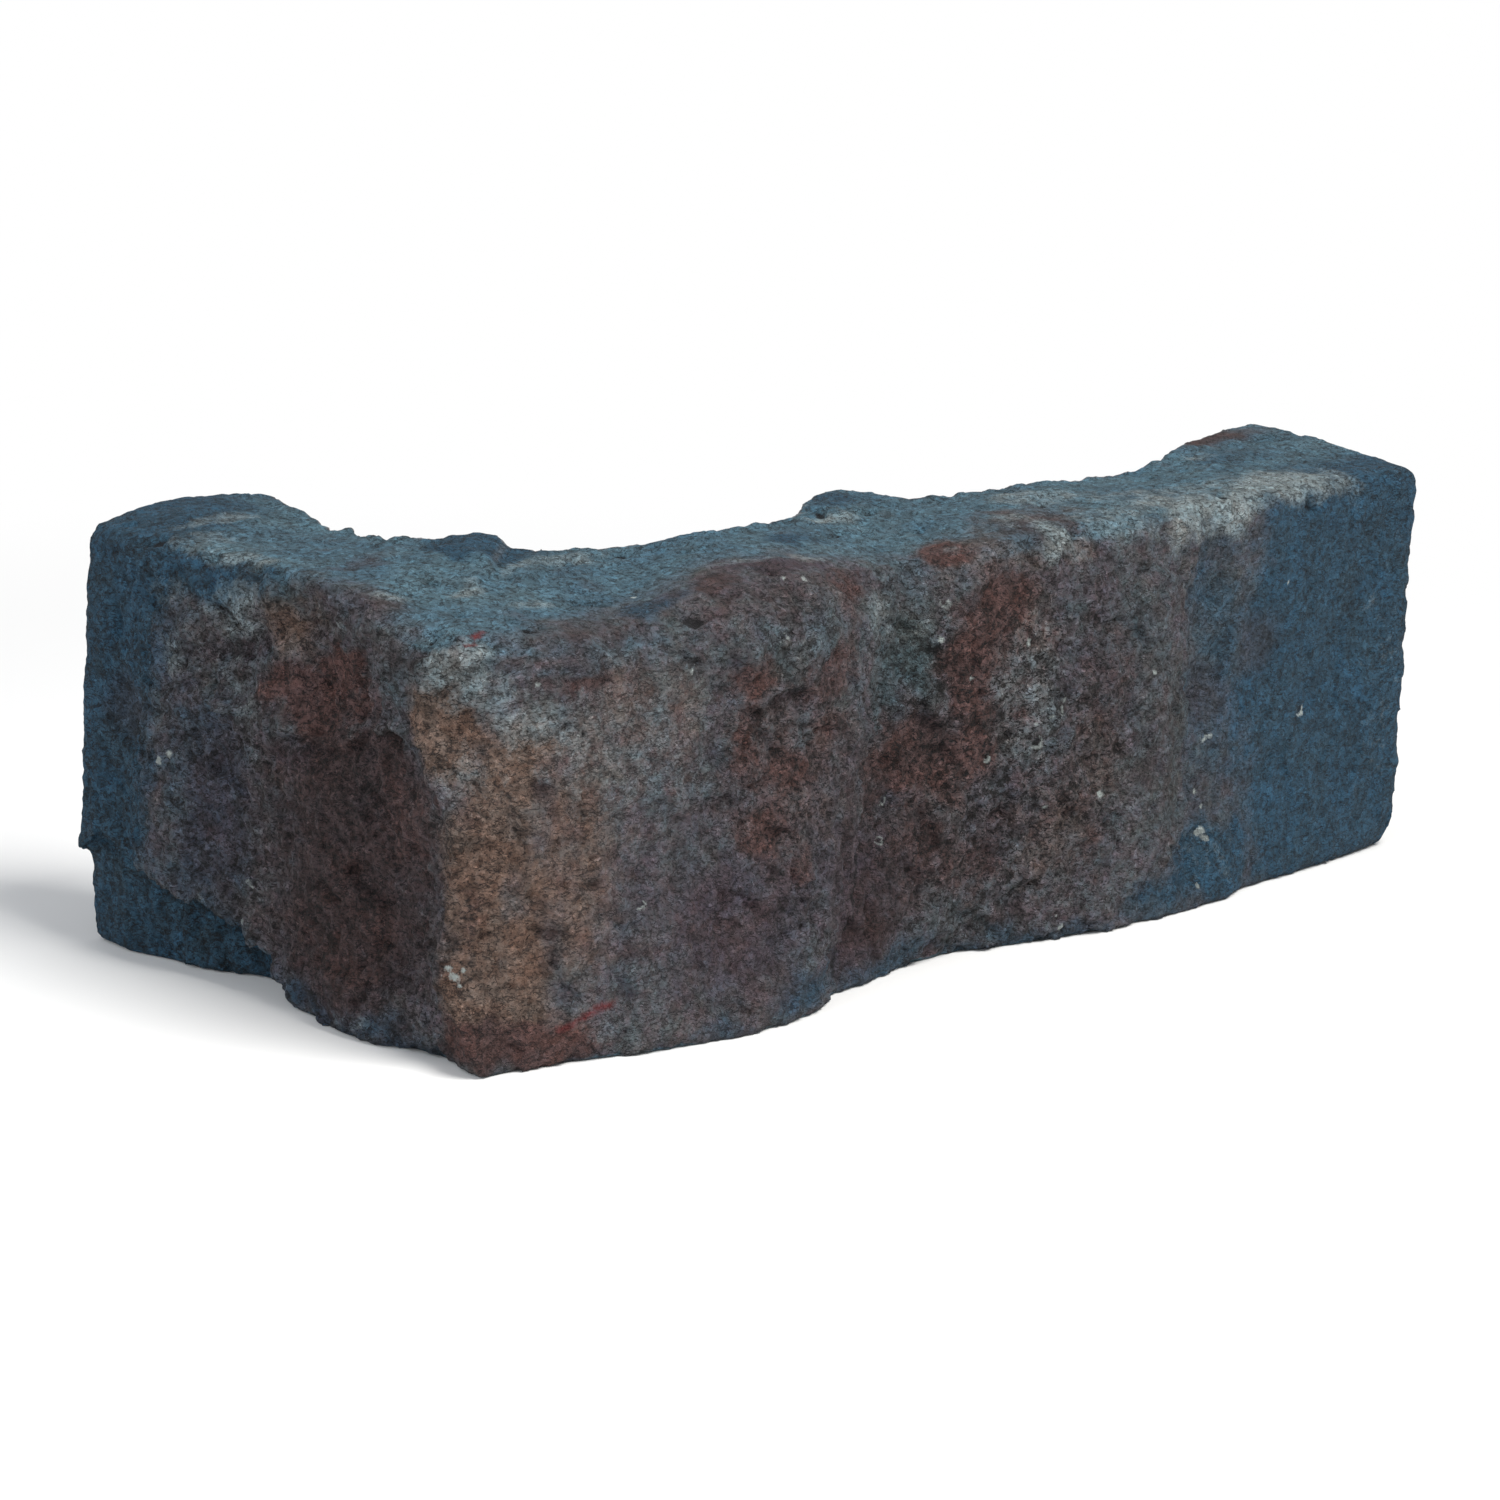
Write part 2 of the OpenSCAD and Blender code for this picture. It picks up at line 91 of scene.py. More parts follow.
# Pigment patches. Each is an ellipsoid: its middle and half sizes in millimetres from
# the foot of the arris (along the long leg, along the short leg, up), and its strength,
# which above 1 gives it a firm edge. They are laid in this order, one over the other.
PATCHES = {
    "sage": [
        (133, 6, 76, 9, 16, 20, 0.85), (126, 4, 70, 8, 16, 12, 0.7), (0, 27, 86, 10, 10, 7, 0.5),
        (205, 0, 62, 10, 14, 34, 0.6), (0, 70, 93, 8, 10, 5, 0.8), (60, 0, 84, 16, 12, 7, 0.4),
        (84, -6, 80, 7, 16, 6, 0.6), (192, 0, 74, 10, 14, 8, 0.5), (40, 0, 60, 12, 14, 10, 0.3),
        (236, 0, 66, 12, 14, 26, 0.5), (120, 0, 70, 8, 14, 14, 0.5), (150, 0, 12, 20, 14, 8, 0.4),
        (24, 30, 102, 26, 22, 4, 0.5), (148, 38, 103, 22, 14, 4, 0.5), (0, 96, 24, 10, 8, 6, 0.4),
        (216, 4, 44, 9, 16, 30, 0.85), (92, -6, 66, 6, 16, 8, 0.4), (176, 0, 58, 12, 14, 10, 0.3),
        (96, -6, 85, 12, 14, 5, 0.5),
    ],
    "slate": [
        # The low bands along the foot of both faces are painted shade where the stone meets the floor; the
        # rest of the slate is a blue-grey wash
        (302, -10, 46, 66, 36, 90, 1.9), (232, 0, 10, 22, 30, 14, 1.1), (212, 0, 4, 26, 20, 9, 0.8),
        (88, -10, 6, 20, 22, 7, 0.7), (118, -4, 3, 26, 24, 6, 0.7), (60, -6, 2, 16, 22, 4, 0.5),
        (175, 0, 2, 50, 20, 5, 0.6), (234, 0, 62, 14, 20, 60, 0.6), (128, 0, 44, 5, 14, 6, 0.4),
        (232, 2, 94, 40, 16, 8, 0.4), (178, 0, 97, 8, 14, 5, 0.4), (0, 150, 88, 44, 46, 60, 1.8),
        (0, 152, 40, 44, 44, 50, 1.7), (0, 116, 4, 34, 44, 17, 2.5), (-4, 100, 95, 12, 36, 8, 1.3),
        (0, 96, 42, 12, 22, 34, 0.65), (0, 102, 34, 9, 10, 10, 0.25), (0, 94, 62, 10, 10, 12, 0.4),
        (20, 128, 102, 34, 28, 6, 0.2), (52, 58, 102, 22, 12, 6, 1.1), (70, 32, 102, 26, 12, 4, 0.4),
        (262, 30, 102, 30, 12, 4, 0.6), (284, 10, 101, 26, 20, 5, 0.2), (120, 26, 102, 16, 5, 4, 0.9),
        (152, 50, 103, 16, 8, 5, 1.0), (102, 50, 102, 14, 8, 4, 0.5), (60, 8, 100, 20, 8, 5, 0.8),
        (94, 8, 101, 14, 8, 4, 0.35), (0, 46, 3, 14, 34, 6, 0.9),
    ],
    "plum": [
        (68, -4, 24, 36, 24, 26, 0.7), (112, 0, 22, 24, 18, 24, 0.8), (100, -6, 38, 16, 22, 28, 0.6),
        (190, -4, 60, 26, 24, 34, 0.35), (160, 0, 30, 20, 16, 14, 0.5), (60, -4, 52, 20, 20, 30, 0.35),
        (172, 0, 88, 20, 14, 8, 0.4), (0, 84, 80, 12, 12, 10, 0.5), (0, 56, 59, 12, 15, 7, 1.1),
        (0, 90, 42, 12, 16, 30, 0.6), (0, 42, 28, 14, 20, 12, 0.7), (0, 50, 12, 16, 26, 16, 0.6),
        (100, 10, 102, 46, 12, 4, 0.8), (24, 66, 102, 18, 8, 4, 0.5), (180, 16, 102, 26, 8, 4, 0.5),
    ],
    "ochre": [
        (0, 0, 48, 18, 12, 44, 1.1), (4, 0, 20, 26, 12, 26, 0.95), (25, 0, 42, 20, 14, 38, 0.65),
        (44, 0, 74, 28, 14, 18, 0.4), (3, 13, 76, 12, 11, 13, 1.4), (8, 0, 68, 22, 14, 14, 1.0),
        (105, 2, 92, 20, 12, 8, 0.3), (160, 4, 95, 20, 14, 6, 0.4), (148, 8, 98, 14, 12, 5, 0.5),
        (186, 4, 95, 9, 12, 5, 0.5), (160, 0, 78, 20, 14, 16, 0.4), (174, 0, 26, 22, 14, 16, 0.45),
        (180, 14, 101, 26, 12, 4, 0.35), (190, 0, 44, 18, 14, 16, 0.4), (96, -6, 48, 12, 16, 18, 0.35),
        (0, 68, 86, 12, 12, 9, 0.75), (0, 60, 91, 9, 9, 6, 0.5), (56, 0, 60, 20, 12, 16, 0.2),
    ],
    "brown": [
        (-2, 42, 36, 24, 38, 42, 0.9), (0, 64, 40, 18, 22, 36, 0.55), (-2, 38, 62, 14, 24, 14, 1.1),
        (0, 84, 75, 14, 9, 7, 0.35), (0, 48, 92, 14, 22, 6, 0.45), (0, 42, 2, 20, 36, 5, 0.3),
        (0, 26, 88, 10, 10, 6, 0.45), (133, 4, 52, 14, 16, 12, 1.1), (120, 2, 46, 11, 14, 10, 0.7),
        (132, 4, 30, 18, 16, 18, 0.8), (110, 2, 40, 9, 16, 32, 0.5), (84, -6, 50, 20, 18, 28, 0.4),
        (175, 0, 48, 34, 16, 42, 0.2), (148, 0, 44, 20, 16, 18, 0.35), (215, 4, 46, 8, 16, 28, 0.6),
        (94, 2, 98, 56, 20, 9, 0.4), (30, 4, 95, 36, 14, 6, 0.5), (31, 0, 83, 11, 10, 4, 0.5),
        (12, -2, 2, 26, 20, 4, 1.0), (20, 0, 27, 4, 10, 7, 0.6), (20, 0, 60, 4, 10, 6, 0.55),
        (22, 0, 12, 4, 10, 4, 0.6), (148, 6, 100, 12, 12, 4, 0.7), (176, 8, 100, 24, 12, 4, 0.5),
        (282, 50, 104, 20, 10, 6, 0.9), (78, 6, 100, 12, 8, 5, 0.8), (4, 40, 100, 9, 30, 6, 0.35),
        (120, 0, 18, 20, 18, 12, 0.6), (96, -4, 76, 16, 16, 9, 0.4),
    ],
    "rust": [
        (80, -6, 58, 20, 20, 28, 0.42), (74, -6, 77, 9, 16, 8, 0.8), (72, -6, 63, 7, 16, 10, 0.75),
        (85, -8, 56, 13, 18, 9, 0.75), (76, -8, 46, 11, 18, 9, 0.8), (86, -8, 35, 7, 16, 7, 0.6),
        (98, -6, 62, 10, 16, 9, 0.6), (100, -2, 77, 16, 20, 8, 0.6), (156, 0, 68, 24, 20, 34, 0.5),
        (157, 0, 84, 16, 18, 12, 0.9), (148, 0, 70, 11, 18, 16, 0.9), (164, 0, 72, 14, 18, 10, 0.45),
        (148, 0, 52, 13, 18, 12, 0.8), (137, 2, 47, 15, 16, 10, 0.9), (127, 2, 54, 10, 16, 8, 0.8),
        (172, 0, 42, 30, 18, 36, 0.35), (184, -4, 20, 10, 18, 9, 0.45), (190, 0, 62, 18, 16, 18, 0.45),
        (150, 0, 24, 20, 16, 14, 0.5), (130, 0, 30, 16, 16, 16, 0.4), (112, 4, 96, 7, 10, 6, 0.7),
        (144, 9, 101, 11, 10, 8, 1.3), (78, 5, 100, 8, 8, 4, 0.3), (30, 0, 83, 12, 10, 4, 0.6),
        (0, 58, 73, 14, 16, 9, 1.1), (0, 50, 82, 14, 11, 7, 1.2), (0, 44, 76, 12, 8, 12, 0.9),
        (0, 70, 71, 12, 10, 6, 0.8), (0, 24, 50, 12, 16, 16, 0.6), (0, 66, 54, 12, 10, 7, 0.4),
        (0, 60, 20, 12, 12, 14, 0.4), (0, 40, 20, 12, 18, 14, 0.4), (10, -2, 5, 24, 18, 6, 1.1),
        (3, 0, 60, 6, 12, 12, 0.5), (2, 0, 34, 6, 10, 12, 0.35), (184, 8, 100, 10, 8, 4, 0.5),
        (14, 6, 95, 18, 10, 4, 0.5), (46, 0, 66, 24, 14, 26, 0.32), (56, -4, 20, 26, 16, 20, 0.25),
    ],
    # The pale is partly a dry-brushed wash and partly painted highlight, where it runs along the upper edges
    # and shoulders
    "pale_and_highlight": [
        (10, 0, 84, 10, 12, 9, 0.5), (18, 0, 76, 10, 11, 8, 0.6), (3, 11, 86, 12, 11, 8, 0.8),
        (30, 0, 72, 12, 12, 8, 0.4), (122, 2, 87, 9, 10, 10, 0.6), (108, 0, 92, 16, 10, 6, 0.2),
        (150, 6, 100, 14, 10, 4, 0.3), (178, 6, 97, 10, 14, 5, 0.85), (200, 4, 97, 20, 14, 7, 0.45),
        (232, 4, 97, 38, 14, 7, 0.85), (262, 6, 98, 30, 12, 8, 1.0), (230, 14, 102, 44, 10, 5, 0.5),
        (104, 16, 101, 28, 5, 4, 0.6), (142, 40, 103, 14, 7, 5, 0.85), (24, 36, 101, 18, 7, 4, 0.8),
        (38, 25, 101, 10, 5, 4, 0.7), (8, 106, 101, 11, 12, 5, 0.45), (6, 82, 101, 8, 24, 3, 0.6),
        (10, 42, 100, 7, 7, 5, 0.7), (0, 101, 38, 9, 9, 14, 0.45), (0, 78, 67, 8, 12, 2, 0.4),
        (0, 104, 76, 8, 7, 10, 0.4), (0, 110, 88, 10, 14, 8, 0.3), (0, 86, 89, 12, 12, 8, 0.6),
        (256, 8, 101, 12, 14, 4, 0.7), (262, 36, 103, 14, 6, 4, 0.6), (60, 44, 102, 22, 5, 4, 0.5),
        (33, 0, 4, 7, 12, 3, 0.6), (200, 26, 102, 22, 8, 4, 0.6), (44, 0, 66, 30, 14, 24, 0.35),
        (92, -6, 84, 20, 14, 6, 0.3), (0, 48, 93, 10, 16, 5, 0.3), (0, 84, 75, 10, 12, 9, 0.35),
        (0, 40, 4, 10, 16, 5, 0.35), (20, 118, 102, 14, 5, 4, 0.6), (168, 0, 60, 20, 12, 24, 0.42),
        (134, 4, 78, 9, 12, 13, 0.3), (202, 0, 28, 10, 14, 12, 0.35), (300, 0, 40, 12, 14, 60, 0.2),
        (230, 0, 12, 20, 14, 12, 0.25), (6, 6, 68, 14, 14, 14, 0.3),
    ],
}
# Front slopes of the top where the blue is rubbed off, placed in the same way
RUBBED = [
    (30, 4, 97, 44, 12, 10, 1.1), (92, 2, 99, 60, 20, 12, 1.5), (146, 8, 101, 18, 12, 8, 1.5),
    (2, 40, 101, 10, 34, 8, 1.0), (176, 8, 102, 26, 10, 6, 0.5), (282, 50, 104, 20, 10, 8, 0.9),
]
# Where the rock is roughest and where it is ropy, placed in the same way
ROUGH = [(158, 0, 48, 54, 22, 54, 1.0), (86, -6, 56, 26, 22, 44, 0.7), (0, 66, 46, 20, 90, 70, 0.6)]
ROPY = [(168, 0, 38, 30, 20, 22, 1.0)]

# Edges where a flake has broken away. Each is a face, the points of its line in
# millimetres, the height of the lip above it and the depth of the step below it. The
# widths are those of every lip and step, and of the band in which an edge wears off.
LIP_WIDTH, STEP_WIDTH, WORN_WIDTH = 3.0, 4.0, 3.0
BROKEN_EDGES = [
    ("short", [(90, 66), (84, 65), (78, 68), (68, 65), (56, 64), (46, 65), (38, 70), (30, 71)], 1.6, 1.8),
    ("short", [(30, 71), (22, 68), (14, 62), (8, 56)], 0.8, 1.0),
    ("short", [(88, 80), (80, 84), (72, 88), (60, 90), (53, 95)], 0.8, 1.2),
    ("short", [(139, 22), (131, 29), (120, 25), (108, 22), (95, 19), (84, 15), (72, 6)], 1.0, 1.2),
    ("short", [(112, 92), (104, 84), (98, 78)], 0.3, 0.8),
    ("short", [(118, 78), (110, 72), (100, 70)], 0.5, 0.6),
    ("long", [(112, 55), (120, 59), (130, 60), (138, 64), (143, 69)], 0.5, 0.8),
    ("long", [(24, 86), (30, 84), (40, 85)], 0.4, 0.8),
    ("long", [(70, 62), (78, 72), (88, 76), (96, 72)], 0.4, 0.6),
    ("long", [(146, 74), (152, 88), (162, 94)], 0.3, 0.7),
    ("long", [(-4, 46), (4, 54), (12, 52), (18, 56)], 0.5, 0.7),
    ("long", [(60, 26), (68, 34), (70, 48)], 0.3, 0.5),
]

# Cracks and slots: a face, the line, its half width and its depth
CRACKS = [
    ("short", [(53, 32), (50, 33), (45, 31)], 0.9, 1.2),
    ("short", [(128, 82), (127, 76)], 1.1, 1.4),
    ("short", [(102, 75), (102, 73)], 1.0, 1.2),
    ("short", [(94, 88), (88, 86), (86, 82)], 1.0, 0.8),
    ("long", [(32, 97), (34, 95), (38, 94), (41, 95)], 1.0, 1.4),
    ("long", [(268, 97), (269, 93)], 1.1, 1.6),
    ("long", [(56, 86), (59, 85)], 1.1, 1.2),
    ("long", [(204, 88), (207, 87)], 1.0, 1.0),
    ("long", [(80, 62), (84, 60)], 0.9, 0.8),
    ("long", [(105, 4), (108, 16), (114, 32)], 1.2, 0.7),
    ("long", [(220, 27), (221, 25)], 0.9, 1.0),
    ("top", [(60, 42), (66, 43)], 1.1, 1.4),
    ("top", [(88, 32), (95, 32)], 1.1, 1.3),
    ("top", [(132, 30), (137, 31)], 1.1, 1.3),
    ("top", [(196, 26), (203, 26)], 1.0, 1.2),
    ("top", [(48, 22), (54, 20)], 1.0, 1.0),
    ("top", [(238, 30), (243, 31)], 1.0, 1.2),
]

# Hollows left by broken grains, and darker inside: face, place, half size and depth
HOLLOWS = [
    ("long", (18, 61), 2.5, 1.2), ("long", (20, 56), 2, 1.0), ("long", (19, 28), 2.5, 1.2),
    ("long", (21, 23), 2.5, 1.0), ("long", (8, 70), 2.5, 1.2), ("long", (32, 40), 2, 0.8),
    ("long", (33, 84), 6, 1.2), ("long", (84, 72), 5, 1.2), ("long", (136, 52), 9, 1.0),
    ("long", (232, 53), 8, 1.0), ("short", (46, 62), 10, 0.8), ("long", (250, 62), 9, 0.5),
    ("long", (6, 8), 6, 0.8), ("short", (124, 60), 9, 0.8), ("short", (86, 22), 6, 0.7),
    ("long", (205, 40), 7, 0.7),
]

# White lime: face, place, radius, and 1 for a crescent round a hollow or 0 for a speck
LIME = [
    ("long", (42, 33), 1.1, 1), ("long", (168, 50), 1.6, 1), ("long", (176, 57), 1.1, 1),
    ("long", (178, 59), 0.5, 0), ("long", (172, 56), 0.5, 0), ("long", (167, 55), 0.4, 0),
    ("long", (167, 74), 0.8, 0), ("long", (140, 78), 0.6, 0), ("long", (142, 86), 1.0, 1),
    ("long", (154, 48), 1.0, 1), ("long", (121, 33), 0.9, 1), ("long", (123, 42), 1.0, 1),
    ("long", (190, 34), 0.9, 0), ("long", (230, 41), 0.8, 0), ("long", (232, 41.5), 0.5, 0),
    ("long", (269, 42), 1.7, 1), ("long", (229, 18), 1.1, 0), ("long", (231, 16), 0.7, 0),
    ("long", (228, 28), 0.5, 0), ("long", (230, 24), 0.4, 0), ("long", (226, 5), 0.6, 0),
    ("long", (178, 3), 0.8, 0), ("long", (177, 6), 0.4, 0), ("long", (261, 76), 0.6, 0),
    ("long", (171, 34), 0.5, 0), ("long", (96, 99), 0.7, 0), ("long", (0, 21), 0.8, 0),
    ("long", (-1, 23), 0.6, 0), ("long", (2, 22.5), 0.5, 0), ("long", (1, 19), 0.4, 0),
    ("long", (84, 88), 0.7, 1), ("long", (206, 62), 0.5, 0), ("long", (148, 68), 0.4, 0),
    ("long", (20, 84), 0.4, 0), ("long", (58, 83), 0.5, 0), ("short", (78, 27), 1.2, 1),
    ("short", (106, 51), 0.9, 0), ("short", (103, 53), 0.7, 0), ("short", (7, 22), 1.3, 0),
    ("short", (82, 17), 0.5, 0), ("short", (87, 78), 0.4, 0), ("top", (62, 20), 0.7, 0),
    ("top", (97, 2), 0.9, 0), ("top", (92, 3), 0.5, 0),
]

# Strokes of red pigment: face, line and half width
RED_STROKES = [
    ("long", [(20, 8), (26, 10), (33, 13)], 0.9),
    ("top", [(5, 12), (9, 13), (14, 15)], 1.4),
]

# Air holes scattered from a little outside the arris: face, how many, how far they
# spread along the face and up or across it, their half size and their depth
SCATTER_FROM = (-6, -10)
AIR_HOLES = [
    ("top", 24, LONG_LEG, 50.0, 1.5, 1.8),
    ("top", 10, 50.0, SHORT_LEG, 1.5, 1.8),
    ("long", 80, LONG_LEG, TOP, 0.45, 0.8),
    ("short", 40, SHORT_LEG, TOP, 0.45, 0.8),
]


# ---------------------------------------------------------------- shaping helpers


def smooth_step(low, high, value):
    """Rises smoothly from 0 at low to 1 at high."""
    share = np.clip((value - low) / (high - low), 0.0, 1.0)
    return share * share * (3 - 2 * share)


def fractal_noise(points, size, octaves=3, shift=0.0):
    """Fractal noise from about -1 to 1, whose largest lumps are size millimetres wide."""
    places = (points / size + shift).tolist()
    return np.array([noise.fractal(p, 1.0, 2.0, octaves) for p in places])


def noise_vectors(points, size, shift=0.0):
    """A smoothly changing direction at each point."""
    places = (points / size + shift).tolist()
    return np.array([noise.noise_vector(p)[:] for p in places])


def cell_domes(points, size, shift=0.0):
    """Rounded grains with creases between them, from 0 in a crease to 1 on a grain."""
    places = (points / size + shift).tolist()
    gaps = [noise.voronoi(p)[0] for p in places]
    return np.array([min(g[1] - g[0], 0.6) / 0.6 for g in gaps])


def cleaved_planes(points, size, tilt, step, shift=0.0):
    """Height of small planes, each leaning its own way, that meet at low ledges."""
    places = points / size + shift
    middles = np.array([noise.voronoi(p)[1][0][:] for p in places.tolist()])
    # The middles are scaled only so that each plane draws a lean and a rise of its own
    lean = np.array([noise.cell_vector(m)[:] for m in (middles * 97.0).tolist()]) * 2 - 1
    rise = np.array([noise.cell(m) for m in (middles * 61.0).tolist()])
    return ((places - middles) * lean).sum(1) * size * tilt + rise * step


def distance_to_line(flat, line):
    """Distance of each point from a line of points, and on which side of it they lie."""
    best = np.full(len(flat), 1e9)
    side = np.zeros(len(flat))
    for start, end in zip(line[:-1], line[1:]):
        start, end = np.array(start, float), np.array(end, float)
        run = end - start
        share = np.clip(((flat - start) @ run) / (run @ run), 0.0, 1.0)
        offset = flat - start - share[:, None] * run
        distance = np.hypot(offset[:, 0], offset[:, 1])
        nearer = distance < best
        best[nearer] = distance[nearer]
        side[nearer] = np.sign(offset[nearer, 1])
    return best, side


def patch_mask(points, patches):
    """How strongly a pigment lies at each point: in full deep in a patch, fading past its rim."""
    mask = np.zeros(len(points))
    for x, y, z, rx, ry, rz, strength in patches:
        reach = np.sqrt((((points - (x, y, z)) / (rx, ry, rz)) ** 2).sum(1))
        mask = np.maximum(mask, strength * smooth_step(1.35, 0.25, reach))
    return mask


# How far from a rim or a line its distance is kept, in millimetres, and what is added
# to it where the stone has turned away from the rim's own face
FIELD_REACH, OFF_FACE = 3.0, 9.0
RIMS = ("ledge", "hole", "ring", "speck", "red")
FACE_AXES = {"long": (0, 2), "short": (1, 2), "top": (0, 1)}


class Rock:
    """The vertices of the stone, in millimetres from the foot of the arris.

    It gathers the height of the relief and the distance to the nearest rim of each kind.
    """

    def __init__(self, points, normals, warp):
        self.points = points
        self.normals = normals
        moved = points + warp
        self.flat = {face: moved[:, axes] for face, axes in FACE_AXES.items()}
        x, y, z = points.T
        nx, ny, nz = normals.T
        self.on = {
            "long": smooth_step(0.25, 0.6, -ny) * (y < ROCK_DEPTH),
            "short": smooth_step(0.25, 0.6, -nx) * (x < ROCK_DEPTH),
            "top": smooth_step(0.5, 0.85, nz) * (z > TOP_FROM),
        }
        self.on_rock = np.maximum(self.on["long"], self.on["short"])
        self.height = np.zeros(len(points))
        self.edges = {rim: np.full(len(points), FIELD_REACH) for rim in RIMS}

    def keep_edge(self, rim, face, distance):
        """Keeps the distance to a rim on that face, where no other of its kind is nearer."""
        distance = distance + OFF_FACE * (1 - self.on[face])
        self.edges[rim] = np.minimum(self.edges[rim], distance)


# ---------------------------------------------------------------- relief
#
# Sizes and heights are in millimetres. The last number of a noise only shifts it, so
# that no two of them rise and fall together.


def roughen(rock, settings):
    """Swells, cleaved planes and grain. Gives back the ragged noise, the grain and the rough parts."""
    p = rock.points
    x, y, _ = p.T
    on_rock, on_top = rock.on_rock, rock.on["top"]
    # The slate-blue ends came out smoother from the mould than the rest
    smooth_end = np.maximum(smooth_step(*SMOOTH_LONG_END, x), smooth_step(*SMOOTH_SHORT_END, y))
    coarse = on_rock * (1 - 0.6 * smooth_end)
    swell = fractal_noise(p, 22.0, 3)
    # Planes of 13 mm carry smaller ones of 5.5 mm, and all their ledges are bent
    bent = p + 2.2 * noise_vectors(p, 6.0, 3.0)
    ledges = cleaved_planes(bent, 13.0, 0.16, 0.0, 5.0) * 0.9 + cleaved_planes(bent, 5.5, 0.12, 0.5, 8.0)
    ragged = fractal_noise(p, 5.0, 4, 11.0)
    grain = cell_domes(p, 2.9, 3.0) - 0.6 + 0.7 * fractal_noise(p, 2.2, 2, 17.0)
    layers = [
        (swell, settings.swell, 0.3 + 0.7 * on_rock + 0.2 * on_top),
        (ledges, settings.flake, 0.12 * on_top + 0.95 * coarse),
        (ragged, settings.flake, 0.1 + 0.25 * on_top + 0.75 * coarse),
        (grain, settings.grain, 0.12 + 0.35 * on_top + 0.88 * coarse),
    ]
    for layer, size, share in layers:
        rock.height += layer * size / MM * share
    rough = patch_mask(p, ROUGH)
    rock.height += rough * on_rock * (0.8 * grain * settings.grain + 0.5 * ragged * settings.flake) / MM
    # The ropes run along the long return
    rock.height += 0.7 * patch_mask(p, ROPY) * fractal_noise(p * (0.4, 1.0, 1.0), 3.2, 2, 23.0)
    return ragged, grain, rough


def break_edges(rock):
    """Lips and steps where flakes have broken away, worn off in places. Gives back the lips."""
    worn = smooth_step(-0.45, 0.35, fractal_noise(rock.points, 9.0, 2, 41.0))
    lips = np.zeros(len(worn))
    for face, line, lip, step in BROKEN_EDGES:
        distance, side = distance_to_line(rock.flat[face], line)
        above = lip * np.exp(-((distance / LIP_WIDTH) ** 2)) * (side > 0)
        below = -step * np.exp(-((distance / STEP_WIDTH) ** 2)) * (side <= 0)
        rock.height += (above + below) * rock.on[face] * worn
        lips = np.maximum(lips, np.minimum(above, 1.0) * rock.on[face] * worn)
        rock.keep_edge("ledge", face, distance + WORN_WIDTH * (1 - worn * min(step, 1.0)))
    return lips


def cut_cracks(rock):
    """Cracks and slots, which the material paints dark inside as shade."""
    for face, line, half, depth in CRACKS:
        distance, _ = distance_to_line(rock.flat[face], line)
        rock.height -= depth * np.exp(-((distance / half) ** 2)) * rock.on[face]
        rock.keep_edge("hole", face, distance - 0.5 * half)


def break_hollows(rock, ragged):
    """Hollows with a ragged rim. Gives back where they are stained."""
    stain = np.zeros(len(ragged))
    for face, place, half, depth in HOLLOWS:
        reach = np.linalg.norm(rock.flat[face] - place, axis=1)
        cut = smooth_step(1.2 * half, 0.4 * half, reach + 1.2 * ragged) * rock.on[face]
        rock.height -= depth * cut
        stain = np.maximum(stain, cut)
    return stain


def lay_lime(rock):
    """Specks of lime, and crescents of it, each on one side of a small round hollow."""
    for face, place, radius, is_ring in LIME:
        offset = rock.points[:, FACE_AXES[face]] - place
        reach = np.linalg.norm(offset, axis=1)
        edge = reach - radius
        if is_ring:
            rock.height -= 0.6 * smooth_step(radius, 0.0, reach + OFF_FACE * (1 - rock.on[face]))
            rock.keep_edge("ring", face, reach - 0.8 * radius)
            # The crescent is what a circle moved to one side leaves uncovered
            inner = np.linalg.norm(offset + (0.2 * radius, -0.25 * radius), axis=1)
            edge = np.maximum(edge, 0.95 * radius - inner)
        rock.keep_edge("speck", face, edge)


def draw_red_strokes(rock):
    """Strokes of red pigment, which lie on the rock without any relief."""
    for face, line, half in RED_STROKES:
        distance, _ = distance_to_line(rock.flat[face], line)
        rock.keep_edge("red", face, distance - half)


def open_air_holes(rock):
    """Holes of trapped air, most of them on the top."""
    rng = np.random.default_rng(SEED)
    depth = np.zeros(len(rock.points))
    for face, count, wide, tall, half, deep in AIR_HOLES:
        places = rng.uniform(SCATTER_FROM, (wide, tall), (count, 2))
        sizes = half * rng.uniform(0.5, 1.3, count)
        for place, size in zip(places, sizes):
            reach = np.linalg.norm(rock.flat[face] - place, axis=1)
            depth = np.maximum(depth, deep * np.exp(-((reach / (size + 0.4)) ** 2)) * rock.on[face])
            rock.keep_edge("hole", face, reach - size)
    rock.height -= depth


def crumble_back_edge(rock, settings):
    """Crumbs along the upper edge where the mould was struck off."""
    x, y, z = rock.points.T
    elsewhere, wide, edge_height = 99, 7, TOP - 4
    long_edge = np.abs(y - BODY_THICKNESS) + elsewhere * (x < BODY_THICKNESS)
    short_edge = np.abs(x - BODY_THICKNESS) + elsewhere * (y < BODY_THICKNESS)
    below = np.maximum(edge_height - z, 0)
    crumbs = smooth_step(wide, 0, np.hypot(np.minimum(long_edge, short_edge), below))
    rock.height += crumbs * settings.crumb / MM * fractal_noise(rock.points, 6.0, 3, 51.0)


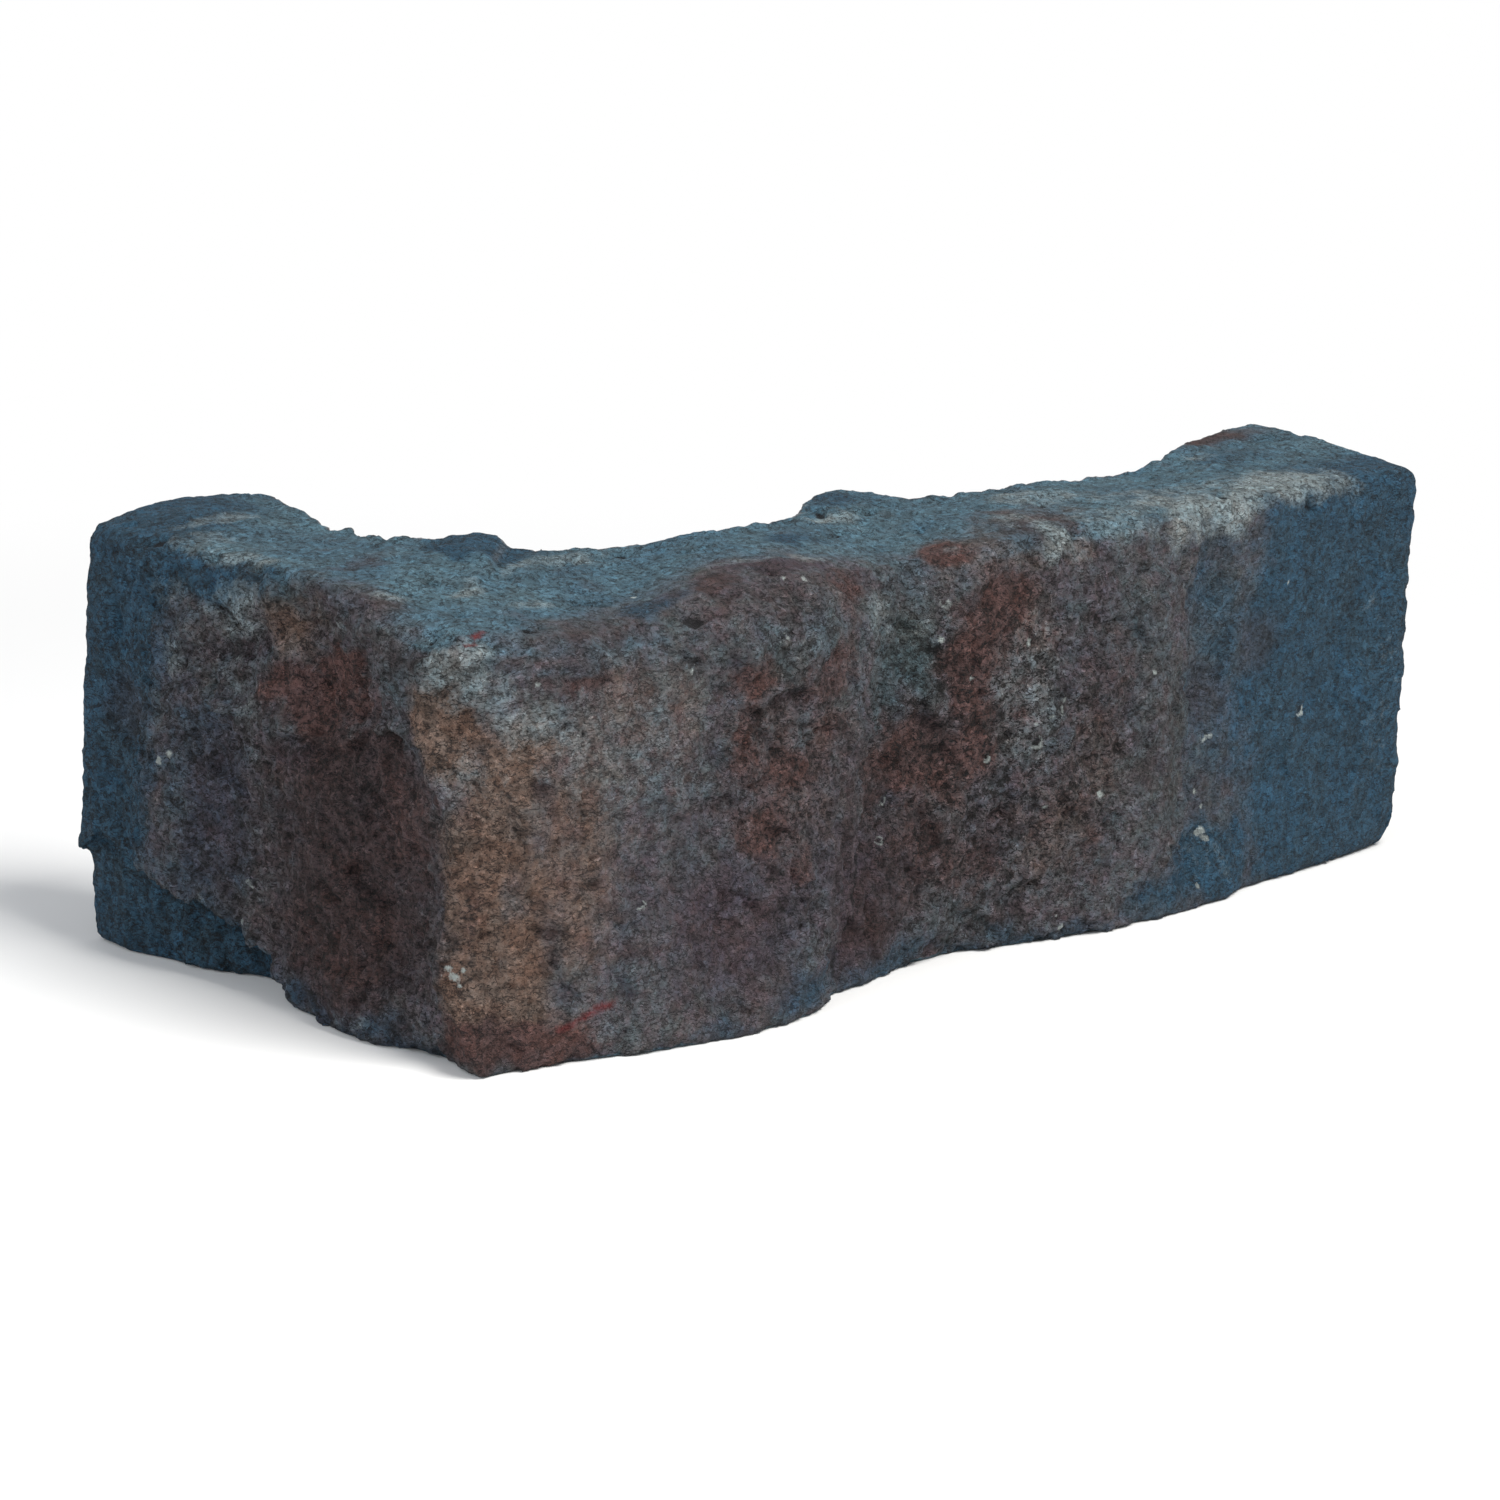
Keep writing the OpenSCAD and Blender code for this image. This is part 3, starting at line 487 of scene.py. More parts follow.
def pigment_masks(rock, ragged, grain, lips):
    """How strongly each pigment lies, with the blue of the top and the bare cement of the back."""
    p = rock.points
    x, y, z = p.T
    nx, ny, nz = rock.normals.T
    drift = p + 5.0 * noise_vectors(p, 17.0, 31.0) + 3.0 * noise_vectors(p, 6.0, 37.0)
    masks = {name: patch_mask(drift, patches) for name, patches in PATCHES.items()}
    # Pigment ran down the arris in streaks, further from it on the long face
    streaks = fractal_noise(p * (1.0, 1.0, 0.25), 6.0, 3, 71.0)
    streaks = streaks * smooth_step(46, 20, x) * smooth_step(24, 10, y)
    masks["ochre"] *= 1 + 0.4 * streaks
    masks["rust"] *= 1 - 0.5 * streaks
    # The lips of broken edges are painted pale too: a painted highlight on their raised rims
    masks["pale_and_highlight"] = np.maximum(masks["pale_and_highlight"] * (1 - 0.4 * streaks), 0.3 * lips)
    # How deep each place lies in the relief: the washes run into it, and the material darkens it as painted
    # shade
    masks["hollow"] = 0.5 - 0.5 * (0.8 * ragged + 0.6 * grain)
    # The open side of the mould leaves the bonding faces bare; its walls colour the ends
    inside = (np.minimum(x, y) > BACK_FROM) * (x < LONG_LEG - END_WALL) * (y < SHORT_LEG - END_WALL)
    masks["back"] = smooth_step(0.25, 0.6, np.maximum(nx, ny)) * inside
    on_wall = (1 - masks["back"]) * (1 - rock.on_rock)
    walls = on_wall * smooth_step(0.6, 0.9, np.maximum(-nz, np.maximum(nx, ny)))
    turn = 0.35 * fractal_noise(p, 9.0, 3, 61.0)
    blue = smooth_step(0.3, 0.9, nz + turn) * (z > TOP_FROM) * (1 - patch_mask(drift, RUBBED))
    masks["crown"] = np.maximum(blue, walls)
    return masks


def weathered(rock, settings):
    """Cuts all the relief into the rock, and gives back the masks that the material reads."""
    ragged, grain, rough = roughen(rock, settings)
    lips = break_edges(rock)
    cut_cracks(rock)
    stain = break_hollows(rock, ragged)
    lay_lime(rock)
    draw_red_strokes(rock)
    open_air_holes(rock)
    crumble_back_edge(rock, settings)
    masks = {**pigment_masks(rock, ragged, grain, lips), "stain": stain, "rough": rough}
    for rim, distance in rock.edges.items():
        masks[rim] = 0.5 + 0.5 * np.clip(distance / FIELD_REACH, -1, 1)
    return masks


# ---------------------------------------------------------------- the stone


def apply_modifiers(piece):
    """Puts the mesh that the modifiers give in the place of the piece's own."""
    bpy.context.view_layer.update()
    graph = bpy.context.evaluated_depsgraph_get()
    mesh = bpy.data.meshes.new_from_object(piece.evaluated_get(graph))
    piece.modifiers.clear()
    piece.data = mesh
    mesh.name = piece.name


def remeshed_copy(source, voxel):
    """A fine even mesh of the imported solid."""
    piece = bpy.data.objects.new("rock_faced_stone", source.data.copy())
    bpy.context.scene.collection.objects.link(piece)
    weld = piece.modifiers.new("weld", "WELD")
    weld.merge_threshold = 0.01 * MM
    fine = piece.modifiers.new("fine", "REMESH")
    fine.mode = "VOXEL"
    fine.voxel_size = voxel
    apply_modifiers(piece)
    return piece


def thin_faces(piece, most):
    """Merges triangles where the surface is plainest, until there are no more than most."""
    triangles = sum(len(p.vertices) - 2 for p in piece.data.polygons)
    thin = piece.modifiers.new("thin", "DECIMATE")
    thin.ratio = min(1.0, most / triangles)
    apply_modifiers(piece)


def ease_facets(co, edges, rounds):
    """Smooths the facets of the solid without shrinking it."""
    a, b = edges.T
    count = np.bincount(a, minlength=len(co)) + np.bincount(b, minlength=len(co))
    for _ in range(rounds):
        # A step inwards and a slightly longer one outwards keep the volume
        for factor in (0.55, -0.57):
            total = np.zeros_like(co)
            for axis in range(3):
                total[:, axis] = np.bincount(a, co[b, axis], len(co)) + np.bincount(b, co[a, axis], len(co))
            co = co + factor * (total / count[:, None] - co)
    return co


def read_rows(items, key, width, kind):
    """What each item of a mesh holds under that key, as rows of that width."""
    values = np.empty(len(items) * width, kind)
    items.foreach_get(key, values)
    return values.reshape(-1, width)


def move_vertices(mesh, co):
    """Puts the vertices where co says, in millimetres."""
    mesh.vertices.foreach_set("co", (co * MM).astype(np.float32).ravel())
    mesh.update()


def store(mesh, name, values):
    """Keeps a value from 0 to 1 at each vertex, for the material to read."""
    layer = mesh.attributes.new(name, "FLOAT", "POINT")
    layer.data.foreach_set("value", np.clip(values, 0.0, 1.0).astype(np.float32))


class StoneSettings(bpy.types.PropertyGroup):
    voxel: FloatProperty(
        name="Mesh size", description="Edge of the even mesh", default=0.88 * MM, unit="LENGTH")
    swell: FloatProperty(
        name="Swell", description="Height of the broad swells", default=0.5 * MM, unit="LENGTH")
    flake: FloatProperty(
        name="Flakes", description="Height of the ledges", default=0.75 * MM, unit="LENGTH")
    grain: FloatProperty(
        name="Grain", description="Height of the grains", default=0.42 * MM, unit="LENGTH")
    crumb: FloatProperty(
        name="Crumbs", description="Height of edge crumbs", default=1.4 * MM, unit="LENGTH")


class STONE_OT_rock_face(bpy.types.Operator):
    """Makes the rock-faced stone: fine relief, broken edges, cracks, air holes and pigments"""

    bl_idname = "stone.rock_face"
    bl_label = "Rock-faced stone"

    def execute(self, context):
        settings = context.scene.stone
        noise.seed_set(SEED)
        piece = remeshed_copy(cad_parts[NODE], settings.voxel)
        mesh = piece.data
        co = read_rows(mesh.vertices, "co", 3, np.float32).astype(float) / MM
        co = ease_facets(co, read_rows(mesh.edges, "vertices", 2, np.int32), EASING_ROUNDS)
        move_vertices(mesh, co)
        points = co - np.array(ARRIS_FOOT)
        normals = read_rows(mesh.vertex_normals, "vector", 3, np.float32).astype(float)
        warp = 1.6 * noise_vectors(points, 7.0) + 0.7 * noise_vectors(points, 2.5, 9.0)
        rock = Rock(points, normals, warp)
        masks = weathered(rock, settings)
        co = co + normals * (rock.height - SINK)[:, None]
        low, high = np.array(STONE_LOW) / MM, np.array(STONE_HIGH) / MM
        move_vertices(mesh, np.clip(co, low + CLEARANCE, high - CLEARANCE))
        for name, values in masks.items():
            store(mesh, name, values)
        thin_faces(piece, MOST_TRIANGLES)
        mesh = piece.data
        mesh.polygons.foreach_set("use_smooth", np.ones(len(mesh.polygons), bool))
        mesh.materials.clear()
        mesh.materials.append(pigmented_cast_stone(context.scene.pigments))
        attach(piece, "root")
        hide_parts(NODE)
        return {"FINISHED"}


# ---------------------------------------------------------------- material


class PigmentSettings(bpy.types.PropertyGroup):
    lilac: FloatVectorProperty(
        name="Lilac", description="Lilac-grey body", subtype="COLOR", default=linear("#534b51"))
    ash: FloatVectorProperty(
        name="Ash", description="Grey body", subtype="COLOR", default=linear("#4a5456"))
    crown: FloatVectorProperty(
        name="Crown", description="Top face", subtype="COLOR", default=linear("#3f5b6a"))
    haze: FloatVectorProperty(
        name="Haze", description="Worn top", subtype="COLOR", default=linear("#4f6b76"))
    sage: FloatVectorProperty(
        name="Sage", description="Green-grey wash", subtype="COLOR", default=linear("#425053"))
    slate: FloatVectorProperty(
        name="Slate", description="Blue-grey wash", subtype="COLOR", default=linear("#284455"))
    plum: FloatVectorProperty(
        name="Plum", description="Plum-grey wash", subtype="COLOR", default=linear("#40383f"))
    ochre: FloatVectorProperty(
        name="Ochre", description="Ochre wash", subtype="COLOR", default=linear("#625248"))
    brown: FloatVectorProperty(
        name="Brown", description="Dark brown wash", subtype="COLOR", default=linear("#3d3131"))
    rust: FloatVectorProperty(
        name="Rust", description="Rust wash", subtype="COLOR", default=linear("#4f3b38"))
    # A pale wash: partly dry-brushed pigment, partly painted highlight on upper edges, shoulders and the
    # lips of broken edges
    pale_and_highlight: FloatVectorProperty(
        name="Pale", description="Pale dry-brushed wash", subtype="COLOR", default=linear("#788587"))
    cement: FloatVectorProperty(
        name="Cement", description="Bare back", subtype="COLOR", default=linear("#77787a"))
    lime: FloatVectorProperty(
        name="Lime", description="White lime", subtype="COLOR", default=linear("#b8c1bf"))
    red: FloatVectorProperty(
        name="Red", description="Red strokes", subtype="COLOR", default=linear("#6a2426"))
    # Near black that stands for shade: painted into pits, cracks, air holes and small round hollows, under
    # the lips of broken edges and along the ticks
    painted_shade: FloatVectorProperty(
        name="Pit", description="Inside of pits", subtype="COLOR", default=linear("#17171a"))


# How each pigment lies, in the order it is washed on: the width of its flecks in
# millimetres, how raggedly they break and how much it runs into the hollows
WASHES = [
    ("sage", 5.0, 0.6, 0.2),
    ("slate", 6.0, 0.6, 0.2),
    ("plum", 6.0, 0.6, 0.4),
    ("ochre", 7.0, 0.6, 0.2),
    ("brown", 5.0, 0.7, 0.6),
    ("rust", 4.0, 1.0, 0.6),
    # The pale keeps off the hollows and lies on the raised parts: partly dry-brushed pigment, partly painted
    # highlight
    ("pale_and_highlight", 4.5, 0.8, -0.6),
]

# Marks over the washes, in order: the pigment, the kind of rim that it follows, how far
# past the rim it reaches and how softly it ends in millimetres, and how well it covers
MARKS = [
    ("red", "red", -0.3, 0.6, 0.9),
    # The three near-black marks are painted shade: under the lips of broken edges, inside the small round
    # hollows, and inside cracks and air holes
    ("painted_shade", "ledge", 0.2, 0.5, 0.6),
    ("painted_shade", "ring", 0.0, 0.3, 0.65),
    ("lime", "speck", 0.05, 0.3, 0.95),
    ("painted_shade", "hole", -0.15, 0.25, 0.9),
]

# Tints about mid grey that turn a colour under them warmer or cooler
WARM, COOL = (0.62, 0.48, 0.43), (0.41, 0.50, 0.57)

# What a node does, where it is one of several of its kind
TIMES = {"operation": "MULTIPLY"}
TIMES_PLUS = {"operation": "MULTIPLY_ADD"}
GREATER_OF = {"operation": "MAXIMUM"}
OVER = {"data_type": "RGBA"}
SOFT_OVER = {"data_type": "RGBA", "blend_type": "SOFT_LIGHT"}
TIMES_COLOUR = {"data_type": "RGBA", "blend_type": "MULTIPLY"}
COLOUR_OUT = 2


def add(tree, kind, settings=None, output=0, **links):
    """Adds a node with its settings and links, and gives back one of its outputs."""
    node = tree.nodes.new(kind)
    for key, value in (settings or {}).items():
        setattr(node, key, value)
    for key, value in links.items():
        socket = node.inputs[int(key[1:]) if key[1:].isdigit() else key.replace("_", " ")]
        if isinstance(value, bpy.types.NodeSocket):
            tree.links.new(value, socket)
        else:
            socket.default_value = value
    return node.outputs[output] if len(node.outputs) else None


def rgba(colour):
    """A colour with the alpha that a colour socket takes."""
    return (*colour, 1.0)


def flecks(tree, place, size_mm, seed, detail=4.0, roughness=0.8, low=0.3, high=0.7):
    """Cloudy flecks spread over 0 to 1, the largest of them size_mm wide."""
    cloud = add(tree, "ShaderNodeTexNoise", {"noise_dimensions": "4D"}, Vector=place, W=seed,
                Scale=1 / (size_mm * MM), Detail=detail, Roughness=roughness)
    return add(tree, "ShaderNodeMapRange", Value=cloud, From_Min=low, From_Max=high)


def grains(tree, place, size_mm):
    """A random level for each chipped grain of that size."""
    drift = add(tree, "ShaderNodeTexNoise", None, "Color", Vector=place,
                Scale=1.2 / (size_mm * MM), Detail=1.0)
    pushed = add(tree, "ShaderNodeVectorMath", TIMES_PLUS, i0=drift,
                 i1=(1.2 * size_mm * MM,) * 3, i2=place)
    colour = add(tree, "ShaderNodeTexVoronoi", None, "Color", Vector=pushed,
                 Scale=1 / (size_mm * MM))
    # Each cell has a random colour, and its red serves as the level
    return add(tree, "ShaderNodeSeparateColor", Color=colour)


def short_ticks(tree, place, size_mm, seed):
    """Thin lines of a few millimetres, curled round grains of that size: painted dark as shadow under small
    flakes, and cut as grooves in the bump.
    """
    cloud = add(tree, "ShaderNodeTexNoise", {"noise_dimensions": "4D"}, Vector=place, W=seed,
                Scale=1 / (size_mm * MM), Detail=2.0, Roughness=0.5)
    away = add(tree, "ShaderNodeMath", {"operation": "SUBTRACT"}, i0=cloud, i1=0.5)
    away = add(tree, "ShaderNodeMath", {"operation": "ABSOLUTE"}, i0=away)
    line = add(tree, "ShaderNodeMapRange", Value=away, From_Min=0.008, From_Max=0.035,
               To_Min=1.0, To_Max=0.0)
    here = flecks(tree, place, 1.4, seed + 0.5, detail=2.0, roughness=0.6, low=0.47, high=0.53)
    return add(tree, "ShaderNodeMath", TIMES, i0=line, i1=here)


def washed(tree, body, pigment, mask, broken, hollow, ragged, into_hollows):
    """Lays a pigment over the body: whole where its patch is strong, in flecks where it is weak."""
    reach = add(tree, "ShaderNodeMath", TIMES_PLUS, i0=hollow, i1=into_hollows,
                i2=1 + ragged - 0.5 * into_hollows)
    reach = add(tree, "ShaderNodeMath", TIMES, i0=reach, i1=mask)
    cover = add(tree, "ShaderNodeMath", TIMES_PLUS, i0=broken, i1=-ragged, i2=reach)
    return add(tree, "ShaderNodeMix", OVER, COLOUR_OUT, i0=cover, i6=body, i7=rgba(pigment))


def marked(tree, body, colour, rim, ragged, reach_mm, soft_mm, most):
    """Colours the body where a kept distance is less than reach_mm, with a ragged rim."""
    kept = add(tree, "ShaderNodeAttribute", {"attribute_name": rim}, "Fac")
    distance = add(tree, "ShaderNodeMath", TIMES_PLUS, i0=kept, i1=2 * FIELD_REACH, i2=-FIELD_REACH)
    distance = add(tree, "ShaderNodeMath", TIMES_PLUS, i0=ragged, i1=0.6, i2=distance)
    cover = add(tree, "ShaderNodeMapRange", Value=distance, From_Min=reach_mm + 0.3 - soft_mm,
                From_Max=reach_mm + 0.3 + soft_mm, To_Min=most, To_Max=0.0)
    return add(tree, "ShaderNodeMix", OVER, COLOUR_OUT, i0=cover, i6=body, i7=rgba(colour))


def washed_body(tree, place, masks, pigments):
    """The grey casting, the blue wash of its top and the other pigments over them."""
    clouds = flecks(tree, place, 7.0, 1.0, detail=5.0, low=0.35, high=0.65)
    body = add(tree, "ShaderNodeMix", OVER, COLOUR_OUT, i0=clouds, i6=rgba(pigments.lilac),
               i7=rgba(pigments.ash))
    # The blue of the top is worn to a paler haze in broad clouds
    clouds = flecks(tree, place, 26.0, 12.0, detail=5.0, roughness=0.65, low=0.36, high=0.62)
    top = add(tree, "ShaderNodeMix", OVER, COLOUR_OUT, i0=clouds, i6=rgba(pigments.crown),
              i7=rgba(pigments.haze))
    body = add(tree, "ShaderNodeMix", OVER, COLOUR_OUT, i0=masks["crown"], i6=body, i7=top)
    for turn, (name, size_mm, uneven, into_hollows) in enumerate(WASHES):
        broken = flecks(tree, place, size_mm, 2.0 + 0.7 * turn, detail=5.0)
        body = washed(tree, body, getattr(pigments, name), masks[name], broken, masks["hollow"],
                      uneven, into_hollows)
    return body


def wandering_hue(tree, body, place, masks, large, small):
    """Turns the hue from warm to cool in clouds, less on the top, and from grain to grain."""
    wander = add(tree, "ShaderNodeMath", TIMES_PLUS, i0=masks["crown"], i1=-0.4, i2=0.6)
    cloud = flecks(tree, place, 9.0, 22.0, detail=5.0, roughness=0.7, low=0.36, high=0.64)
    for layer, share in ((cloud, wander), (large, 0.2), (small, 0.25)):
        hue = add(tree, "ShaderNodeMix", OVER, COLOUR_OUT, i0=layer, i6=rgba(WARM), i7=rgba(COOL))
        body = add(tree, "ShaderNodeMix", SOFT_OVER, COLOUR_OUT, i0=share, i6=body, i7=hue)
    return body


def grain_tone_and_shade(tree, body, place, masks, large, small):
    """Lightens and darkens the body by its grains and the sand between them, and paints shade into the
    hollows of the relief.

    Light grains stand apart. The grains that the bump raises are painted lighter as well, a painted
    highlight on top of their own random tone, and all of it is stronger where the rock is rough.
    """
    sand = flecks(tree, place, 1.5, 10.0, detail=3.0)
    light = flecks(tree, place, 1.6, 11.0, detail=3.0, roughness=0.7, low=0.6, high=0.66)
    # The start brings the layers to about 0 in all, so that the contrast turns round it
    tone = -0.72
    # The hollow mask takes tone away where the relief is deep: painted shade
    for layer, share in ((sand, 0.9), (large, 0.3), (small, 0.6), (light, 0.8), (masks["hollow"], -0.4)):
        tone = add(tree, "ShaderNodeMath", TIMES_PLUS, i0=layer, i1=share, i2=tone)
    contrast = add(tree, "ShaderNodeMath", TIMES_PLUS, i0=masks["rough"], i1=1.2, i2=1.0)
    tone = add(tree, "ShaderNodeMath", TIMES_PLUS, i0=tone, i1=contrast, i2=1.24)
    tone = add(tree, "ShaderNodeMath", GREATER_OF, i0=tone, i1=0.2)
    shade = add(tree, "ShaderNodeCombineColor", Red=tone, Green=tone, Blue=tone)
    return add(tree, "ShaderNodeMix", TIMES_COLOUR, COLOUR_OUT, i0=1.0, i6=body, i7=shade)


def sand_bump(tree, place, masks, large, small, ticks):
    """Sand too fine for the mesh: gritty clouds, a level for each grain and ticks cut between them."""
    grit = flecks(tree, place, 2.0, 14.0, low=0.2, high=0.8)
    for layer, share in ((large, 0.8), (small, 0.4), (ticks, -0.5)):
        grit = add(tree, "ShaderNodeMath", TIMES_PLUS, i0=layer, i1=share, i2=grit)
    deep = add(tree, "ShaderNodeMath", TIMES_PLUS, i0=masks["rough"], i1=1.5 * MM, i2=2.0 * MM)
    return add(tree, "ShaderNodeBump", None, "Normal", Strength=1.0, Distance=deep, Height=grit)


def pigmented_cast_stone(pigments):
    """Lightweight concrete cast in a rubber mould and washed with iron-oxide pigments.

    The washes lie unevenly, thick in the hollows and rubbed off the grains, so every
    colour breaks up into flecks the size of a grain. The surface is matt and sandy. Shade is painted into
    the hollows, cracks, holes and ticks and under broken ledges, and a pale highlight onto raised grains,
    lips and upper edges.
    """
    material = bpy.data.materials.new("pigmented_cast_stone")
    material.use_nodes = True
    tree = material.node_tree
    tree.nodes.clear()
    place = add(tree, "ShaderNodeTexCoord", output="Object")
    masks = {name: add(tree, "ShaderNodeAttribute", {"attribute_name": name}, "Fac")
             for name in (*PATCHES, "hollow", "stain", "crown", "back", "rough")}
    large, small = grains(tree, place, 4.0), grains(tree, place, 1.8)

    body = washed_body(tree, place, masks, pigments)
    body = wandering_hue(tree, body, place, masks, large, small)
    stained = add(tree, "ShaderNodeMath", TIMES, i0=masks["stain"], i1=0.4)
    body = add(tree, "ShaderNodeMix", OVER, COLOUR_OUT, i0=stained, i6=body, i7=rgba(pigments.brown))
    body = add(tree, "ShaderNodeMix", OVER, COLOUR_OUT, i0=masks["back"], i6=body, i7=rgba(pigments.cement))
    body = grain_tone_and_shade(tree, body, place, masks, large, small)

    # Dark ticks, painted shadow under small flakes, lie along the rock, because their noise changes faster
    # upwards
    lying = add(tree, "ShaderNodeVectorMath", TIMES, i0=place, i1=(1.0, 1.0, 1.8))
    ticks = add(tree, "ShaderNodeMath", GREATER_OF, i0=short_ticks(tree, lying, 3.0, 16.0),
                i1=short_ticks(tree, lying, 1.7, 20.0))
    # The ticks get the near-black shade colour as painted shadow, more of it where the rock is rough
    tick_shadow = add(tree, "ShaderNodeMath", TIMES_PLUS, i0=masks["rough"], i1=0.4, i2=0.6)
    tick_shadow = add(tree, "ShaderNodeMath", TIMES, i0=ticks, i1=tick_shadow)
    body = add(tree, "ShaderNodeMix", OVER, COLOUR_OUT, i0=tick_shadow, i6=body, i7=rgba(pigments.painted_shade))
    ragged = flecks(tree, place, 1.2, 15.0, detail=2.0)
    for name, rim, reach, soft, most in MARKS:
        body = marked(tree, body, getattr(pigments, name), rim, ragged, reach, soft, most)

    bump = sand_bump(tree, place, masks, large, small, ticks)
    surface = add(tree, "ShaderNodeBsdfPrincipled", Base_Color=body, Roughness=0.9, Normal=bump,
                  Specular_IOR_Level=0.3)
    add(tree, "ShaderNodeOutputMaterial", Surface=surface)
    return material


# ---------------------------------------------------------------- stage

# Soft lamps: name, bearing and height in degrees, distance and size in metres, watts
# and colour. They face the middle of the stone.
LAMPS = [
    ("key", 10, 55, 1.6, 0.8, 29.0, "#fffdf9"),
    ("fill", -80, 25, 1.8, 1.2, 14.0, "#f6fbff"),
]
STONE_MIDDLE = Vector((0.06, 0.0, 0.05))
# The paper lies a hair under the bed, so that the two don't share a plane, and fades
# to white between these distances, well outside the shadow of the stone
FLOOR_HALF, FLOOR_DROP = 4.0, 0.0002
FADE_FROM, FADE_TO = 0.25, 0.6
# The arris stands this far left of the middle of the view and below it
AIM_RIGHT, AIM_UP = 0.060, 0.071
SENSOR_MM = 36.0


class StageSettings(bpy.types.PropertyGroup):
    azimuth: FloatProperty(
        name="Azimuth", description="Camera bearing", default=math.radians(-42.9), subtype="ANGLE")
    elevation: FloatProperty(
        name="Elevation", description="Camera height", default=math.radians(13.9), subtype="ANGLE")
    roll: FloatProperty(
        name="Roll", description="Camera roll", default=math.radians(1.14), subtype="ANGLE")
    distance: FloatProperty(
        name="Distance", description="Camera to the arris", default=1.086, unit="LENGTH")
    lens: FloatProperty(name="Lens", description="Focal length on a 36 mm sensor", default=120.0)


def facing(azimuth, elevation, roll):
    """Right, up and back of a view from that bearing and height."""
    back = Vector((math.sin(azimuth) * math.cos(elevation), -math.cos(azimuth) * math.cos(elevation),
                   math.sin(elevation)))
    right = Vector((math.cos(azimuth), math.sin(azimuth), 0.0))
    up = back.cross(right)
    turned = right * math.cos(roll) + up * math.sin(roll)
    return turned, up * math.cos(roll) - right * math.sin(roll), back


def area_lamp(name, azimuth, elevation, distance, size, watts, colour):
    """A square soft lamp that faces the stone from that bearing."""
    _, _, back = facing(math.radians(azimuth), math.radians(elevation), 0.0)
    data = bpy.data.lights.new(name, "AREA")
    data.shape = "SQUARE"
    data.size = size
    data.energy = watts
    data.color = linear(colour)
    lamp = bpy.data.objects.new(name, data)
    lamp.location = STONE_MIDDLE + back * distance
    lamp.rotation_euler = back.to_track_quat("Z", "Y").to_euler()
    bpy.context.scene.collection.objects.link(lamp)


def viewer_rays(tree):
    """A factor that is 1 for rays the viewer sees, straight or in a reflection."""
    seen = 0.0
    for name in ("Is Camera Ray", "Is Glossy Ray", "Is Transmission Ray"):
        ray = add(tree, "ShaderNodeLightPath", None, name)
        seen = add(tree, "ShaderNodeMath", GREATER_OF, i0=seen, i1=ray)
    return seen


def matt_backdrop_paper():
    """Rolled studio paper: plain and matt, and white where it runs up behind the stone."""
    material = bpy.data.materials.new("matt_backdrop_paper")
    material.use_nodes = True
    tree = material.node_tree
    tree.nodes.clear()
    paper = add(tree, "ShaderNodeBsdfDiffuse", Color=rgba(linear("#eeeeee")))
    white = add(tree, "ShaderNodeEmission", Color=rgba(linear("#ffffff")), Strength=1.0)
    place = add(tree, "ShaderNodeTexCoord", output="Object")
    reach = add(tree, "ShaderNodeVectorMath", {"operation": "LENGTH"}, "Value", i0=place)
    far = add(tree, "ShaderNodeMapRange", {"interpolation_type": "SMOOTHSTEP"}, Value=reach,
              From_Min=FADE_FROM, From_Max=FADE_TO)
    seen = add(tree, "ShaderNodeMath", TIMES, i0=far, i1=viewer_rays(tree))
    faded = add(tree, "ShaderNodeMixShader", i0=seen, i1=paper, i2=white)
    add(tree, "ShaderNodeOutputMaterial", Surface=faded)
    return material


